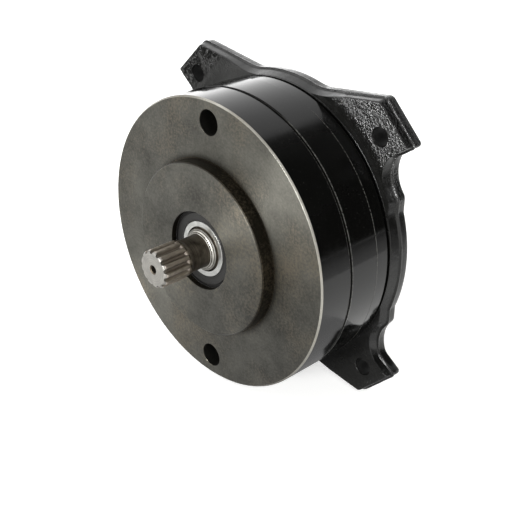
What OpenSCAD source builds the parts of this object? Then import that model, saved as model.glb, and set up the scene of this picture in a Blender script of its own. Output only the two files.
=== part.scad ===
// Electromagnetic motor brake, applied by springs and released by a coil.
// The shaft runs along Y. The pilot boss faces -Y, the four ears are at the rear and +Z is up.
// The origin is the centre of the pilot boss, in the plane of the mounting face.

/* [Mounting face] */
// Diameter of the pilot boss on the front cap
pilot_d = 101.6; // [98:0.1:106]
// Height of the pilot boss over the mounting face
pilot_h = 8.5; // [7:0.5:10]
// Distance from the centre of a bolt hole to the outside of the cap
bolt_edge = 12.475; // [11.5:0.025:14]
// Diameter of the two bolt holes
bolt_hole_d = 14.3; // [11:0.1:14.8]
// Opening in the boss in front of the bearing
lip_bore_d = 46; // [44:0.5:49]
// Depth from the boss's face to the bearing
lip_t = 3.2; // [2.2:0.1:4]

/* [Housing bands] */
// Outer diameter of the cap and of the ring
body_d = 171; // [170:0.5:175]
// Width of the front cap's band
cap_w = 22; // [21:0.5:25]
// Width of the groove between the cap and the ring
groove_w = 1.2; // [0.8:0.1:2]
// Depth of that groove
groove_deep = 2.5; // [1.5:0.1:3]
// Width of the housing ring's band
band_w = 29; // [28:0.5:33]
// Width of the slightly smaller strip at the ring's rear edge
strip_w = 8.8; // [6:0.2:12]
// Depth of the step between the ring's band and that strip
strip_deep = 0.4; // [0.2:0.1:1]
// Wall of the ring's short register that enters the cap
register_wall = 2.3; // [1.8:0.1:3]
// Metal between the bolt holes and the register
register_edge = 1.575; // [1:0.025:3]
// Length of the registers that centre the housing parts on each other
register_l = 3; // [2.4:0.1:4]
// Edge chamfer of the machined housing parts
edge_chamfer = 0.8; // [0.4:0.1:1.2]

/* [Rear casting] */
// Width of the dark gap between the ring and the casting's rim
gap_w = 1.8; // [1:0.1:2.5]
// Depth of that gap
gap_deep = 3.5; // [2.5:0.1:4]
// Height of the casting's rim over the housing bands
rim_over = 2.5; // [1.5:0.1:4]
// Distance from the ring's rear face to the rear mounting face
flange_w = 13.8; // [13:0.2:17]
// Distance from the rim to the centre of an ear hole
ear_hole_out = 12.975; // [11:0.025:14]
// Diameter of the ear holes
ear_hole_d = 10.3; // [8.4:0.1:11]
// Distance from the rim to the ears' cut-off ends
ear_out = 25.7; // [24:0.1:28]
// Length of an ear's end edge
ear_end_w = 30; // [28:0.5:31]
// Angle by which an ear widens from its notch to its end edge
ear_flare = 10.5; // [8:0.5:13]
// Slope of the ears' upper and lower flanks, in degrees
flank_angle = 8; // [7:0.1:10]
// Distance from the rim in to the two straight side edges
web_in = 5; // [4:0.1:6]
// Radius of the round notch below each ear
notch_r = 20; // [18:0.1:22]
// Metal left outside the rim at the bottom of a notch
notch_edge = 2.6; // [2:0.1:4]
// Direction of a notch from the horizontal centre plane, in degrees
notch_angle = 28.5; // [28:0.1:29]
// Height of the parting ridge on the casting's edge
ridge_h = 0.5; // [0.3:0.1:0.8]
// Width of the parting ridge
ridge_w = 1; // [0.6:0.1:1.6]
// Draft that narrows the casting's edge in front of the ridge
draft_in = 1; // [0.6:0.1:1.4]
// Diameter of the pilot recess in the rear face
rear_pilot_d = 101.6; // [98:0.1:106]
// Depth of the pilot recess
rear_pilot_h = 10; // [9:0.5:12]

/* [Brake] */
// Thickness of the cap's wall under the front lining
wall_t = 14; // [13:0.5:16]
// Thickness of each friction lining
lining_t = 3; // [2:0.5:4]
// Thickness of the disc core between the linings
core_t = 4; // [3:0.5:5]
// Width of the friction linings, from inside to outside
lining_w = 19.5; // [14:0.5:22]
// Height of the disc core's edge over the linings
core_rim = 0.5; // [0.3:0.1:1]
// Thickness of the armature plate
armature_t = 8; // [7:0.5:9]
// Air gap between the armature and the poles while the brake holds
air_gap = 0.5; // [0.3:0.1:0.8]
// Wall of the outer pole, round the coil pocket
outer_pole_wall = 10; // [9:0.5:12]
// Part of the width from the pole bore to the outer pole that the inner pole takes
inner_pole_part = 0.53; // [0.48:0.01:0.6]
// Bore of the inner pole, clear of the shaft's collar
pole_bore_d = 40; // [39:0.5:42]
// Depth of the coil pocket behind the pole faces
coil_deep = 15.5; // [13:0.5:16]
// Wall of the coil bobbin
bobbin_wall = 1.5; // [1:0.1:2]
// Number of springs
spring_count = 6; // [4:1:8]
// Outer diameter of a spring
spring_d = 8; // [7:0.1:8.4]
// Diameter of the spring wire
spring_wire_d = 1.5; // [1.2:0.1:1.6]
// Diameter of the spring pockets
spring_pocket_d = 9; // [8.8:0.1:9.4]
// Depth of the spring pockets behind the pole faces
spring_pocket_deep = 10.5; // [9.5:0.5:11.5]
// Diameter of the torque pins
torque_pin_d = 6; // [5:0.5:7]
// Metal between the torque pins and the inside of the housing
pin_edge = 1.2; // [0.8:0.1:2]
// Gap between the torque pins and the disc core
pin_gap = 0.8; // [0.5:0.1:1.5]
// Diameter of the two lead holes in the grommet
lead_hole_d = 3; // [2:0.1:3.5]
// Diameter of the grommet where it passes through the ring
grommet_d = 9; // [8:0.5:10]

/* [Hub and shaft] */
// Wall of the hub between its bore and a flat
hub_wall = 4; // [3:0.5:6]
// Length of the hub
hub_l = 14.5; // [13:0.5:15]
// Diameter of the shaft under the hub
hub_seat_d = 32; // [31:0.5:33]
// Width of the hub key
key_w = 8; // [6:1:9]
// Length of the hub key
key_l = 10.5; // [9:0.5:11]
// Number of spline teeth
spline_teeth = 13; // [12:1:14]
// Spline module, the pitch diameter divided by the number of teeth
spline_module = 1.5875; // [1.55:0.0125:1.65]
// Length of the outer spline
spline_l = 19.5; // [17:0.5:22]
// Distance from the mounting face to the shaft's end
shaft_out = 40.5; // [37:0.5:46]
// Diameter of the neck behind the spline
neck_d = 19.2; // [18:0.2:20]
// Length of the cone from the neck up to the bearing seat
neck_cone_l = 2.5; // [1.5:0.1:3.5]
// Diameter of the centre hole in the shaft's end
centre_hole_d = 4.4; // [3:0.1:5]
// Depth of the centre hole
centre_hole_deep = 9; // [6:0.5:12]
// Depth of the inner spline in the shaft's rear end
socket_deep = 30.4; // [27:0.1:30.6]
// Clearance that the inner spline gives a mating shaft
socket_clear = 0.12; // [0.06:0.01:0.2]

/* [Bearings] */
// Bore of the front bearing
front_bore_d = 25; // [24.6:0.1:25.4]
// Outer diameter of the front bearing
front_out_d = 52; // [51.6:0.1:52.6]
// Width of the front bearing
front_w = 15; // [14:0.5:15.5]
// Number of balls in the front bearing
front_ball_count = 9; // [8:1:10]
// Bore of the rear bearing
rear_bore_d = 30; // [29.8:0.1:30.4]
// Outer diameter of the rear bearing
rear_out_d = 47; // [46.6:0.1:47.4]
// Width of the rear bearing
rear_w = 9; // [8:0.5:9.5]
// Number of balls in the rear bearing
rear_ball_count = 14; // [12:1:15]
// Part of a bearing's section, from bore to outside, that a ball takes
ball_part = 0.588; // [0.56:0.002:0.6]
// Part of a bearing's section that the inner ring takes
inner_ring_part = 0.28; // [0.25:0.01:0.3]
// Part of a bearing's section that the outer ring takes
outer_ring_part = 0.25; // [0.22:0.01:0.28]
// Clearance between a ball and its race
ball_clear = 0.03; // [0.02:0.01:0.06]
// Thickness of the rubber seals
seal_t = 1.1; // [0.8:0.1:1.4]
// Thickness of the circlips
circlip_t = 1.5; // [1.2:0.1:1.8]

/* [Screws and pins] */
// Thread diameter of the housing screws
screw_d = 8; // [6:1:8]
// Head diameter of the housing screws
screw_head_d = 13; // [11:0.5:13]
// Head height of the housing screws
screw_head_h = 8; // [6:0.5:8.5]
// Thread length of the screws inside the cap
screw_bite = 11; // [9:0.5:12]
// Diameter of the dowel pins
dowel_d = 6; // [5:0.5:7]
// Length of a dowel pin
dowel_l = 12; // [10:0.5:14]

/* [Hidden] */
$fn = 96;

// How far a cut runs past the surface that it opens
past = 1;
// Clearance between pieces that slide on each other
slide_clear = 0.1;
// Clearance between moving pieces that never touch
free_clear = 0.3;
// Clearance between a piece and the pocket or bore that it lies in
pocket_clear = 0.5;
// Small edge chamfer of turned pieces
small_chamfer = 0.5;

// Planes of the housing from front to rear
cap_end = cap_w + groove_w;
ring_end = cap_end + band_w;
strip_start = ring_end - strip_w;
rim_start = ring_end + gap_w;
rear_face = ring_end + flange_w;
recess_floor = rear_face - rear_pilot_h;
register_start = cap_end - register_l;
ridge_start = (rim_start + rear_face) / 2 - ridge_w / 2;
// The ears' fronts stand a little behind the front of the rim
ear_start = rim_start + 0.6;

// Planes of the friction pack from front to rear
core_start = wall_t + lining_t;
rear_lining_start = core_start + core_t;
armature_start = rear_lining_start + lining_t;
lining_slot_deep = 1;
armature_end = armature_start + armature_t;
pole_face = armature_end + air_gap;
coil_floor = pole_face + coil_deep;
bobbin_sink = 0.8;
winding_in = 1.2;
spring_floor = pole_face + spring_pocket_deep;

// Planes of the bearings
front_bearing_start = lip_t - pilot_h;
front_bearing_end = front_bearing_start + front_w;
circlip_groove_w = circlip_t + 0.2;
front_groove_deep = 1.3;
rear_groove_deep = 1.2;
hub_groove_deep = 1;
rear_bearing_end = recess_floor - 2 * circlip_t;
rear_bearing_start = rear_bearing_end - rear_w;

// Planes of the shaft
spline_end = spline_l - shaft_out;
seat_lead = 0.2;
seat_start = front_bearing_start - seat_lead;
circlip_land = 1.5;
hub_circlip_start = front_bearing_end + circlip_land;
hub_start = hub_circlip_start + circlip_t;
hub_end = hub_start + hub_l;
hub_af = hub_seat_d + 2 * hub_wall;
collar_w = 4;
shaft_end_in = 1;
shaft_end = recess_floor - shaft_end_in;
socket_floor = shaft_end - socket_deep;
key_in = 0.7;
key_start = hub_start + key_in;

// Radii
body_r = body_d / 2;
neck_r = body_r - groove_deep;
gap_r = body_r - gap_deep;
pilot_r = pilot_d / 2;
bolt_hole_r = bolt_hole_d / 2;
bolt_r = body_r - bolt_edge;
screw_r = bolt_r;
register_r = bolt_r - bolt_hole_r - register_edge;
cavity_r = register_r - register_wall;

// Radii and lengths of the casting's outline
rim_r = body_r + rim_over;
rim_bevel = 2.8;
rim_front_r = rim_r - rim_bevel;
ear_hole_pitch_r = rim_r + ear_hole_out;
ear_reach = rim_r + ear_out;
web_half = rim_r - web_in;
notch_c = (rim_r + notch_edge + notch_r) * [cos(notch_angle), sin(notch_angle)];
notch_out = notch_c[0];
notch_up = notch_c[1];

// Radii of the magnet and of the friction pack, from the housing inwards
torque_pin_in_r = cavity_r - pin_edge - torque_pin_d;
torque_pin_r = torque_pin_in_r + torque_pin_d / 2;
core_r = torque_pin_in_r - pin_gap;
lining_out_r = core_r - core_rim;
lining_in_r = lining_out_r - lining_w;
outer_pole_in_r = cavity_r - outer_pole_wall;
pole_bore_r = pole_bore_d / 2;
inner_pole_r = pole_bore_r + inner_pole_part * (outer_pole_in_r - pole_bore_r);
spring_offset = 0.5;
spring_pitch_r = (pole_bore_r + inner_pole_r) / 2 + spring_offset;

// Radii of the screw holes
screw_hole_r = screw_d / 2 + pocket_clear;
screw_head_hole_r = screw_head_d / 2 + pocket_clear;

// Radii of the spline, with the height of a tooth over and under its pitch circle in modules
tooth_over = 0.366;
tooth_under = 0.64;
spline_pitch_r = spline_module * spline_teeth / 2;
spline_tip_r = spline_pitch_r + tooth_over * spline_module;
spline_root_r = spline_pitch_r - tooth_under * spline_module;
spline_pressure = 30;
spline_base_r = spline_pitch_r * cos(spline_pressure);

// Radii of the bearings, of the shaft's collar and of the O-rings
front_ball_pitch_r = (front_bore_d + front_out_d) / 4;
rear_ball_pitch_r = (rear_bore_d + rear_out_d) / 4;
front_section = (front_out_d - front_bore_d) / 2;
rear_section = (rear_out_d - rear_bore_d) / 2;
front_ball_d = ball_part * front_section;
rear_ball_d = ball_part * rear_section;
front_inner_race_r = front_bore_d / 2 + inner_ring_part * front_section;
front_outer_race_r = front_out_d / 2 - outer_ring_part * front_section;
rear_inner_race_r = rear_bore_d / 2 + inner_ring_part * rear_section;
rear_outer_race_r = rear_out_d / 2 - outer_ring_part * rear_section;
seal_bite = 0.6;
seal_sink = 0.1;
collar_over = 2.5;
collar_r = hub_seat_d / 2 + collar_over;
shoulder_over = 2;
rear_shoulder_r = rear_bore_d / 2 + shoulder_over;
o_ring_deep = 1.3;
o_ring_w = 1.8;

// Planes of the seals, pins, leads, screws and key
o_ring_front = register_start + (register_l - o_ring_w) / 2;
o_ring_land = 1.2;
o_ring_rear = ring_end - o_ring_land - o_ring_w;
pin_bite_front = 3.5;
torque_pin_start = wall_t - pin_bite_front;
pin_bite_rear = 5.5;
torque_pin_end = pole_face + pin_bite_rear;
lead_in = 4;
lead_plane = pole_face + coil_deep - lead_in;
spot_deep = 1;
spot_face_r = body_r - spot_deep;
head_sink = 0.6;
screw_head_start = rear_face - screw_head_h - head_sink;
key_deep = 4;
key_over = 3.1;
key_floor_r = hub_seat_d / 2 - key_deep;
key_top_r = hub_seat_d / 2 + key_over;

// Places around the axis, in degrees from +X towards +Z
screw_angles = [30, 150, 210, 330];
dowel_angles = [10, 190];
ear_angles = [45, 135, 225, 315];
pin_angles = [0, 120, 240];
bolt_angles = [90, 270];
spring_angles = [for (i = [0:spring_count - 1]) (i + 0.5) * 360 / spring_count];

// Points of a circular arc from angle a0 to a1
function arc(cx, cy, r, a0, a1, n) =
    [for (i = [0:n]) [cx + r * cos(a0 + (a1 - a0) * i / n), cy + r * sin(a0 + (a1 - a0) * i / n)]];

// A point at distance r from the origin in direction a
function polar(r, a) = [r * cos(a), r * sin(a)];

// Unit vector from p to q
function unit(p, q) = (q - p) / norm(q - p);

// Arc of radius r that rounds the corner at p between its neighbours a and b
function rounded(a, p, b, r, n) =
    let (
        u = unit(p, a),
        v = unit(p, b),
        half = acos(u * v) / 2,
        c = p + (u + v) / norm(u + v) * r / sin(half),
        start = p + u * r / tan(half) - c,
        end = p + v * r / tan(half) - c,
        a0 = atan2(start[1], start[0]),
        turn = atan2(end[1], end[0]) - a0,
        sweep = turn > 180 ? turn - 360 : turn < -180 ? turn + 360 : turn
    ) arc(c[0], c[1], r, a0, a0 + sweep, n);

// The same points in reverse order
function backwards(p) = [for (i = [len(p) - 1:-1:0]) p[i]];

// A quarter outline repeated by mirroring it about both axes
function four_quarters(q) = concat(
    q,
    backwards([for (p = q) [-p[0], p[1]]]),
    [for (p = q) [-p[0], -p[1]]],
    backwards([for (p = q) [p[0], -p[1]]])
);

// Places children so that their Z axis runs along +Y, starting at plane y
module on_axis(y = 0) {
    translate([0, y, 0])
        rotate([-90, 0, 0])
            children();
}

// Repeats children around the axis, with their X axis pointing outwards
module around(angles) {
    for (a = angles)
        rotate([0, -a, 0])
            children();
}

// Solid of revolution from a profile of [radius, y] points
module turned(profile) {
    rotate([-90, 0, 0])
        rotate_extrude()
            polygon(profile);
}

// Straight rod along the axis from y0 to y1
module rod(r, y0, y1) {
    on_axis(y0)
        cylinder(r = r, h = y1 - y0);
}

// Rod beside the axis, at distance out along X
module side_rod(out, r, y0, y1) {
    translate([out, 0, 0])
        rod(r, y0, y1);
}

// Straight tube along the axis
module tube(r_in, r_out, y0, y1) {
    turned([[r_in, y0], [r_out, y0], [r_out, y1], [r_in, y1]]);
}

// Torus round the axis in plane y
module torus(pitch_r, r, y) {
    on_axis(y)
        rotate_extrude()
            translate([pitch_r, 0])
                circle(r = r, $fn = 48);
}

// Cone that chamfers a hole's mouth in plane y, narrowing towards +Y or, with dir = -1, towards -Y
module mouth_chamfer(out, r, size, y, dir = 1) {
    translate([out, y, 0])
        rotate([-90 * dir, 0, 0])
            translate([0, 0, -past])
                cylinder(r1 = r + size + past, r2 = r, h = size + past);
}

// Open ring with two drilled lugs at its gap, lying flat in plane y. It sits in its groove along
// seat_r, and its free side has radius free_r, or lug_r at the lugs.
module circlip(seat_r, free_r, lug_r, y) {
    gap_half = 13;
    lug_sweep = 11;
    lug_hole_r = 0.8;
    steps = 60;
    lug_steps = 4;
    lug_end = gap_half + lug_sweep;
    // A flat-sided outline round a shaft touches it at the middle of each side
    seat = seat_r < free_r ? seat_r / cos((180 - gap_half) / steps) : seat_r;
    difference() {
        on_axis(y)
            linear_extrude(circlip_t)
                polygon(concat(
                    arc(0, 0, seat, gap_half, 360 - gap_half, steps),
                    arc(0, 0, lug_r, 360 - gap_half, 360 - lug_end, lug_steps),
                    arc(0, 0, free_r, 360 - lug_end, lug_end, steps),
                    arc(0, 0, lug_r, lug_end, gap_half, lug_steps)
                ));
        around([-gap_half - lug_sweep / 2, gap_half + lug_sweep / 2])
            side_rod((seat_r + lug_r) / 2, lug_hole_r, y - past, y + circlip_t + past);
    }
}

// Involute of the spline's base circle at radius r, in degrees
function involute(r) = let (a = acos(spline_base_r / r)) tan(a) * 180 / PI - a;

// Half the angle that a tooth covers at radius r
function tooth_half(r) = 90 / spline_teeth + involute(spline_pitch_r) - involute(r);

// Outline of the spline, with every face moved outwards by clear
function spline_outline(clear) =
    let (steps = 3, low = spline_root_r, high = spline_tip_r)
    [for (k = [0:spline_teeth - 1])
        for (side = [-1, 1])
            for (i = [0:steps])
                let (
                    r = side < 0 ? low + (high - low) * i / steps : high - (high - low) * i / steps,
                    a = k * 360 / spline_teeth + side * (tooth_half(r) + clear / r * 180 / PI)
                ) polar(r + clear, a)];

module spline_bar(clear, y0, y1) {
    on_axis(y0)
        linear_extrude(y1 - y0)
            polygon(spline_outline(clear));
}

// Housing
module front_cap() {
    bearing_r = front_out_d / 2;
    boss_face = -pilot_h;
    boss_chamfer = 1;
    hole_chamfer = 0.6;
    under_screw = 1.5;
    screw_hole_floor = cap_end - screw_bite - under_screw;
    color("dimgray")
        difference() {
            turned([
                [lip_bore_d / 2, boss_face],
                [pilot_r - boss_chamfer, boss_face],
                [pilot_r, boss_face + boss_chamfer],
                [pilot_r, 0],
                [body_r - edge_chamfer, 0],
                [body_r, edge_chamfer],
                [body_r, cap_w],
                [neck_r, cap_w],
                [neck_r, cap_end],
                [register_r, cap_end],
                [register_r, register_start],
                [cavity_r, register_start],
                [cavity_r, wall_t],
                [bearing_r, wall_t],
                [bearing_r, front_bearing_end + circlip_groove_w],
                [bearing_r + front_groove_deep, front_bearing_end + circlip_groove_w],
                [bearing_r + front_groove_deep, front_bearing_end],
                [bearing_r, front_bearing_end],
                [bearing_r, front_bearing_start],
                [lip_bore_d / 2, front_bearing_start]
            ]);
            around(bolt_angles) {
                side_rod(bolt_r, bolt_hole_r, -past, cap_end + past);
                mouth_chamfer(bolt_r, bolt_hole_r, hole_chamfer, 0);
            }
            around(screw_angles)
                side_rod(screw_r, screw_d / 2, screw_hole_floor, cap_end + past);
            around(dowel_angles)
                side_rod(screw_r, dowel_d / 2, cap_end - dowel_l / 2, cap_end + past);
            around(pin_angles)
                side_rod(torque_pin_r, torque_pin_d / 2, torque_pin_start, wall_t + past);
        }
}

module housing_ring() {
    spot_r = grommet_d / 2 + 2.2;
    band_chamfer = edge_chamfer / 2;
    strip_r = body_r - strip_deep;
    color([0.07, 0.07, 0.07])
        difference() {
            turned([
                [cavity_r, register_start],
                [register_r, register_start],
                [register_r, cap_end],
                [body_r - band_chamfer, cap_end],
                [body_r, cap_end + band_chamfer],
                [body_r, strip_start],
                [strip_r, strip_start + strip_deep],
                [strip_r, ring_end - band_chamfer],
                [strip_r - band_chamfer, ring_end],
                [cavity_r, ring_end]
            ]);
            tube(register_r - o_ring_deep, register_r + past, o_ring_front, o_ring_front + o_ring_w);
            around(bolt_angles)
                side_rod(bolt_r, bolt_hole_r, register_start - past, ring_end + past);
            around(screw_angles)
                side_rod(screw_r, screw_hole_r, cap_end - past, ring_end + past);
            around(dowel_angles) {
                side_rod(screw_r, dowel_d / 2, cap_end - past, cap_end + dowel_l / 2);
                side_rod(screw_r, dowel_d / 2, ring_end - dowel_l / 2, ring_end + past);
            }
            lead_bore(grommet_d / 2, cavity_r - past, body_r + past);
            lead_bore(spot_r, spot_face_r, body_r + past);
        }
}

// Radial cut on the -X side, where the coil leads leave
module lead_bore(r, from_r, to_r) {
    translate([-to_r, lead_plane, 0])
        rotate([0, 90, 0])
            cylinder(r = r, h = to_r - from_r);
}

// Quarter outline of the casting, grown outwards by g, from the side edge round an ear to the top
function casting_quarter(g) =
    let (
        edge_x = web_half + g,
        nr = notch_r - g,
        round_r = 6,
        notch_end_r = 6,
        tip_r = 2,
        shoulder_r = 4,
        blend_r = 30,
        // How much further the notch's arc runs, and how deep the flank's blend sinks into the rim
        notch_over = 6,
        blend_sink = 0.3,
        // The outline closes well inside the rim
        inside_part = 0.9,
        // Rounding between the side edge and the notch
        round_x = edge_x - round_r,
        round_z = notch_up - sqrt(pow(nr + round_r, 2) - pow(notch_out - round_x, 2)),
        meet = atan2(notch_up - round_z, notch_out - round_x),
        // The ear's cut-off end, the side that narrows to the notch, and the flank on the other side
        end_half = ear_end_w / 2 + g / 2,
        lower = (ear_reach + g) * polar(1, 45) + end_half * polar(1, -45),
        upper = (ear_reach + g) * polar(1, 45) + end_half * polar(1, 135),
        side = polar(1, 225 - ear_flare),
        from_notch = lower - [notch_out, notch_up],
        back = from_notch * side,
        side_l = sqrt(pow(back, 2) - from_notch * from_notch + pow(nr, 2)) - back,
        side_end = lower + side_l * side,
        slope = polar(1, flank_angle),
        normal = polar(1, flank_angle + 90),
        flank_off = normal * upper,
        blend_along = sqrt(pow(rim_r + g + blend_r - blend_sink, 2) - pow(flank_off + blend_r, 2)),
        blend_c = blend_along * slope + (flank_off + blend_r) * normal,
        blend_end = blend_c - blend_r * normal,
        rim_side = atan2(-blend_c[1], -blend_c[0]),
        notch_top = atan2(side_end[1] - notch_up, side_end[0] - notch_out) + notch_over
    ) concat(
        [[edge_x, 0]],
        arc(round_x, round_z, round_r, 0, meet, 4),
        arc(notch_out, notch_up, nr, 180 + meet, notch_top, 14),
        rounded([notch_out, notch_up] + nr * polar(1, notch_top), side_end, lower, notch_end_r, 3),
        rounded(side_end, lower, upper, tip_r, 4),
        rounded(lower, upper, blend_end, shoulder_r, 5),
        arc(blend_c[0], blend_c[1], blend_r, flank_angle - 90, rim_side, 8),
        [[0, inside_part * rim_r]]
    );

module casting_layer(g, y0, y1) {
    on_axis(y0)
        linear_extrude(y1 - y0)
            polygon(four_quarters(casting_quarter(g)));
}

module magnet_housing() {
    bearing_r = rear_out_d / 2;
    groove_r = bearing_r + rear_groove_deep;
    recess_r = rear_pilot_d / 2;
    recess_chamfer = 1;
    pole_chamfer = 0.5;
    lead_hole_r = 3;
    ridge_end = ridge_start + ridge_w;
    color([0.05, 0.05, 0.05])
        difference() {
            union() {
                turned([
                    [pole_bore_r, pole_face],
                    [inner_pole_r, pole_face],
                    [inner_pole_r, coil_floor],
                    [outer_pole_in_r, coil_floor],
                    [outer_pole_in_r, pole_face],
                    [cavity_r - pole_chamfer, pole_face],
                    [cavity_r, pole_face + pole_chamfer],
                    [cavity_r, o_ring_rear],
                    [cavity_r - o_ring_deep, o_ring_rear],
                    [cavity_r - o_ring_deep, o_ring_rear + o_ring_w],
                    [cavity_r, o_ring_rear + o_ring_w],
                    [cavity_r, ring_end],
                    [gap_r, ring_end],
                    [gap_r, rim_start],
                    [rim_front_r, rim_start],
                    [rim_r - draft_in, ridge_start],
                    [rim_r + ridge_h, ridge_start],
                    [rim_r + ridge_h, ridge_end],
                    [rim_r, ridge_end],
                    [rim_r, rear_face],
                    [recess_r + recess_chamfer, rear_face],
                    [recess_r, rear_face - recess_chamfer],
                    [recess_r, recess_floor],
                    [bearing_r, recess_floor],
                    [bearing_r, rear_bearing_end + circlip_groove_w],
                    [groove_r, rear_bearing_end + circlip_groove_w],
                    [groove_r, rear_bearing_end],
                    [bearing_r, rear_bearing_end],
                    [bearing_r, rear_bearing_start],
                    [pole_bore_r, rear_bearing_start]
                ]);
                difference() {
                    union() {
                        casting_layer(-draft_in, ear_start, ridge_start);
                        casting_layer(ridge_h, ridge_start, ridge_end);
                        casting_layer(0, ridge_end, rear_face);
                    }
                    rod(gap_r, rim_start - past, rear_face + past);
                }
            }
            around(ear_angles)
                side_rod(ear_hole_pitch_r, ear_hole_d / 2, ear_start - past, rear_face + past);
            around(bolt_angles)
                side_rod(bolt_r, bolt_hole_r, ring_end - past, rear_face + past);
            around(screw_angles) {
                side_rod(screw_r, screw_hole_r, ring_end - past, rear_face + past);
                side_rod(screw_r, screw_head_hole_r, screw_head_start, rear_face + past);
            }
            around(dowel_angles)
                side_rod(screw_r, dowel_d / 2, ring_end - past, ring_end + dowel_l / 2);
            around(pin_angles)
                side_rod(torque_pin_r, torque_pin_d / 2, pole_face - past, torque_pin_end);
            around(spring_angles)
                side_rod(spring_pitch_r, spring_pocket_d / 2, pole_face - past, spring_floor);
            lead_bore(lead_hole_r, outer_pole_in_r - past, cavity_r + past);
        }
}

// One bearing ring with the ball groove cut into it
module race(r_in, r_out, y0, y1, pitch_r, ball_r) {
    edge = 0.5;
    difference() {
        turned([
            [r_in, y0 + edge],
            [r_in + edge, y0],
            [r_out - edge, y0],
            [r_out, y0 + edge],
            [r_out, y1 - edge],
            [r_out - edge, y1],
            [r_in + edge, y1],
            [r_in, y1 - edge]
        ]);
        torus(pitch_r, ball_r + ball_clear, (y0 + y1) / 2);
    }
}

// Balls of one bearing
module balls(pitch_r, ball_r, count, y) {
    around([for (i = [0:count - 1]) i * 360 / count])
        translate([pitch_r, y, 0])
            sphere(r = ball_r, $fn = 32);
}

// Cage ring with one round pocket for each ball
module cage(pitch_r, ball_r, count, y) {
    edge = 0.6;
    thin_part = 0.28;
    pocket_r = ball_r + 0.08;
    half_w = ball_r + edge;
    half_t = ball_r * thin_part;
    difference() {
        tube(pitch_r - half_t, pitch_r + half_t, y - half_w, y + half_w);
        around([for (i = [0:count - 1]) i * 360 / count])
            translate([pitch_r - half_t - past, y, 0])
                rotate([0, 90, 0])
                    cylinder(r = pocket_r, h = 2 * half_t + 2 * past);
    }
}

module front_bearing_outer() {
    seal_r = front_outer_race_r + seal_bite;
    color("silver")
        difference() {
            race(front_outer_race_r, front_out_d / 2, front_bearing_start, front_bearing_end,
                front_ball_pitch_r, front_ball_d / 2);
            rod(seal_r, front_bearing_start - past, front_bearing_start + seal_t);
            rod(seal_r, front_bearing_end - seal_t, front_bearing_end + past);
        }
}

module front_bearing_seals() {
    seal_in_r = front_inner_race_r + slide_clear;
    seal_out_r = front_outer_race_r + seal_bite;
    color([0.08, 0.08, 0.08]) {
        tube(seal_in_r, seal_out_r, front_bearing_start + seal_sink, front_bearing_start + seal_t);
        tube(seal_in_r, seal_out_r, front_bearing_end - seal_t, front_bearing_end - seal_sink);
    }
}

module front_bearing_circlip() {
    seat_r = front_out_d / 2 + front_groove_deep;
    color("gray")
        circlip(seat_r, seat_r - 3.2, seat_r - 5, front_bearing_end);
}

module rear_bearing_outer() {
    color("silver")
        difference() {
            race(rear_outer_race_r, rear_out_d / 2, rear_bearing_start, rear_bearing_end,
                rear_ball_pitch_r, rear_ball_d / 2);
            rod(rear_outer_race_r + seal_bite, rear_bearing_end - seal_t, rear_bearing_end + past);
        }
}

module rear_bearing_seal() {
    color([0.08, 0.08, 0.08])
        tube(rear_inner_race_r + slide_clear, rear_outer_race_r + seal_bite,
            rear_bearing_end - seal_t, rear_bearing_end - seal_sink);
}

module rear_bearing_circlip() {
    seat_r = rear_out_d / 2 + rear_groove_deep;
    color("gray")
        circlip(seat_r, seat_r - 3, seat_r - 4.6, rear_bearing_end);
}

module coil_bobbin() {
    r0 = inner_pole_r;
    r1 = outer_pole_in_r - pocket_clear;
    y0 = pole_face + bobbin_sink;
    color("ivory")
        turned([
            [r0, y0],
            [r1, y0],
            [r1, y0 + bobbin_wall],
            [r0 + bobbin_wall, y0 + bobbin_wall],
            [r0 + bobbin_wall, coil_floor - bobbin_wall],
            [r1, coil_floor - bobbin_wall],
            [r1, coil_floor],
            [r0, coil_floor]
        ]);
}

module coil_winding() {
    color("peru")
        tube(inner_pole_r + bobbin_wall, outer_pole_in_r - winding_in,
            pole_face + bobbin_sink + bobbin_wall, coil_floor - bobbin_wall);
}

// One compression spring along Z, with closed ends, as a swept tube of wire
module spring(length) {
    wire_r = spring_wire_d / 2;
    mean_r = (spring_d - spring_wire_d) / 2;
    sides = 6;
    per_turn = 12;
    closed_turns = 0.9;
    closed_rise = closed_turns * (spring_wire_d + 0.15);
    active_turns = 2.6;
    turns = active_turns + 2 * closed_turns;
    lift = length - spring_wire_d - 2 * closed_rise;
    rings = round(turns * per_turn);
    function rise(t) =
        t < closed_turns ? t / closed_turns * closed_rise
        : t > turns - closed_turns ? length - spring_wire_d - (turns - t) / closed_turns * closed_rise
        : closed_rise + (t - closed_turns) / active_turns * lift;
    points = [for (i = [0:rings])
        for (j = [0:sides - 1])
            let (
                t = turns * i / rings,
                out = mean_r + wire_r * cos(j * 360 / sides)
            ) [out * cos(t * 360), out * sin(t * 360), wire_r + rise(t) + wire_r * sin(j * 360 / sides)]];
    side_faces = [for (i = [0:rings - 1])
        for (j = [0:sides - 1])
            [i * sides + j, i * sides + (j + 1) % sides,
                (i + 1) * sides + (j + 1) % sides, (i + 1) * sides + j]];
    first_end = [for (j = [sides - 1:-1:0]) j];
    last_end = [for (j = [0:sides - 1]) rings * sides + j];
    polyhedron(points, concat(side_faces, [first_end, last_end]), convexity = 6);
}

module springs() {
    seat_gap = 0.05;
    color("silver")
        around(spring_angles)
            translate([spring_pitch_r, 0, 0])
                on_axis(armature_end + seat_gap)
                    spring(spring_floor - armature_end - seat_gap);
}

module torque_pins() {
    color("silver")
        around(pin_angles)
            side_rod(torque_pin_r, torque_pin_d / 2, torque_pin_start, torque_pin_end);
}

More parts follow.
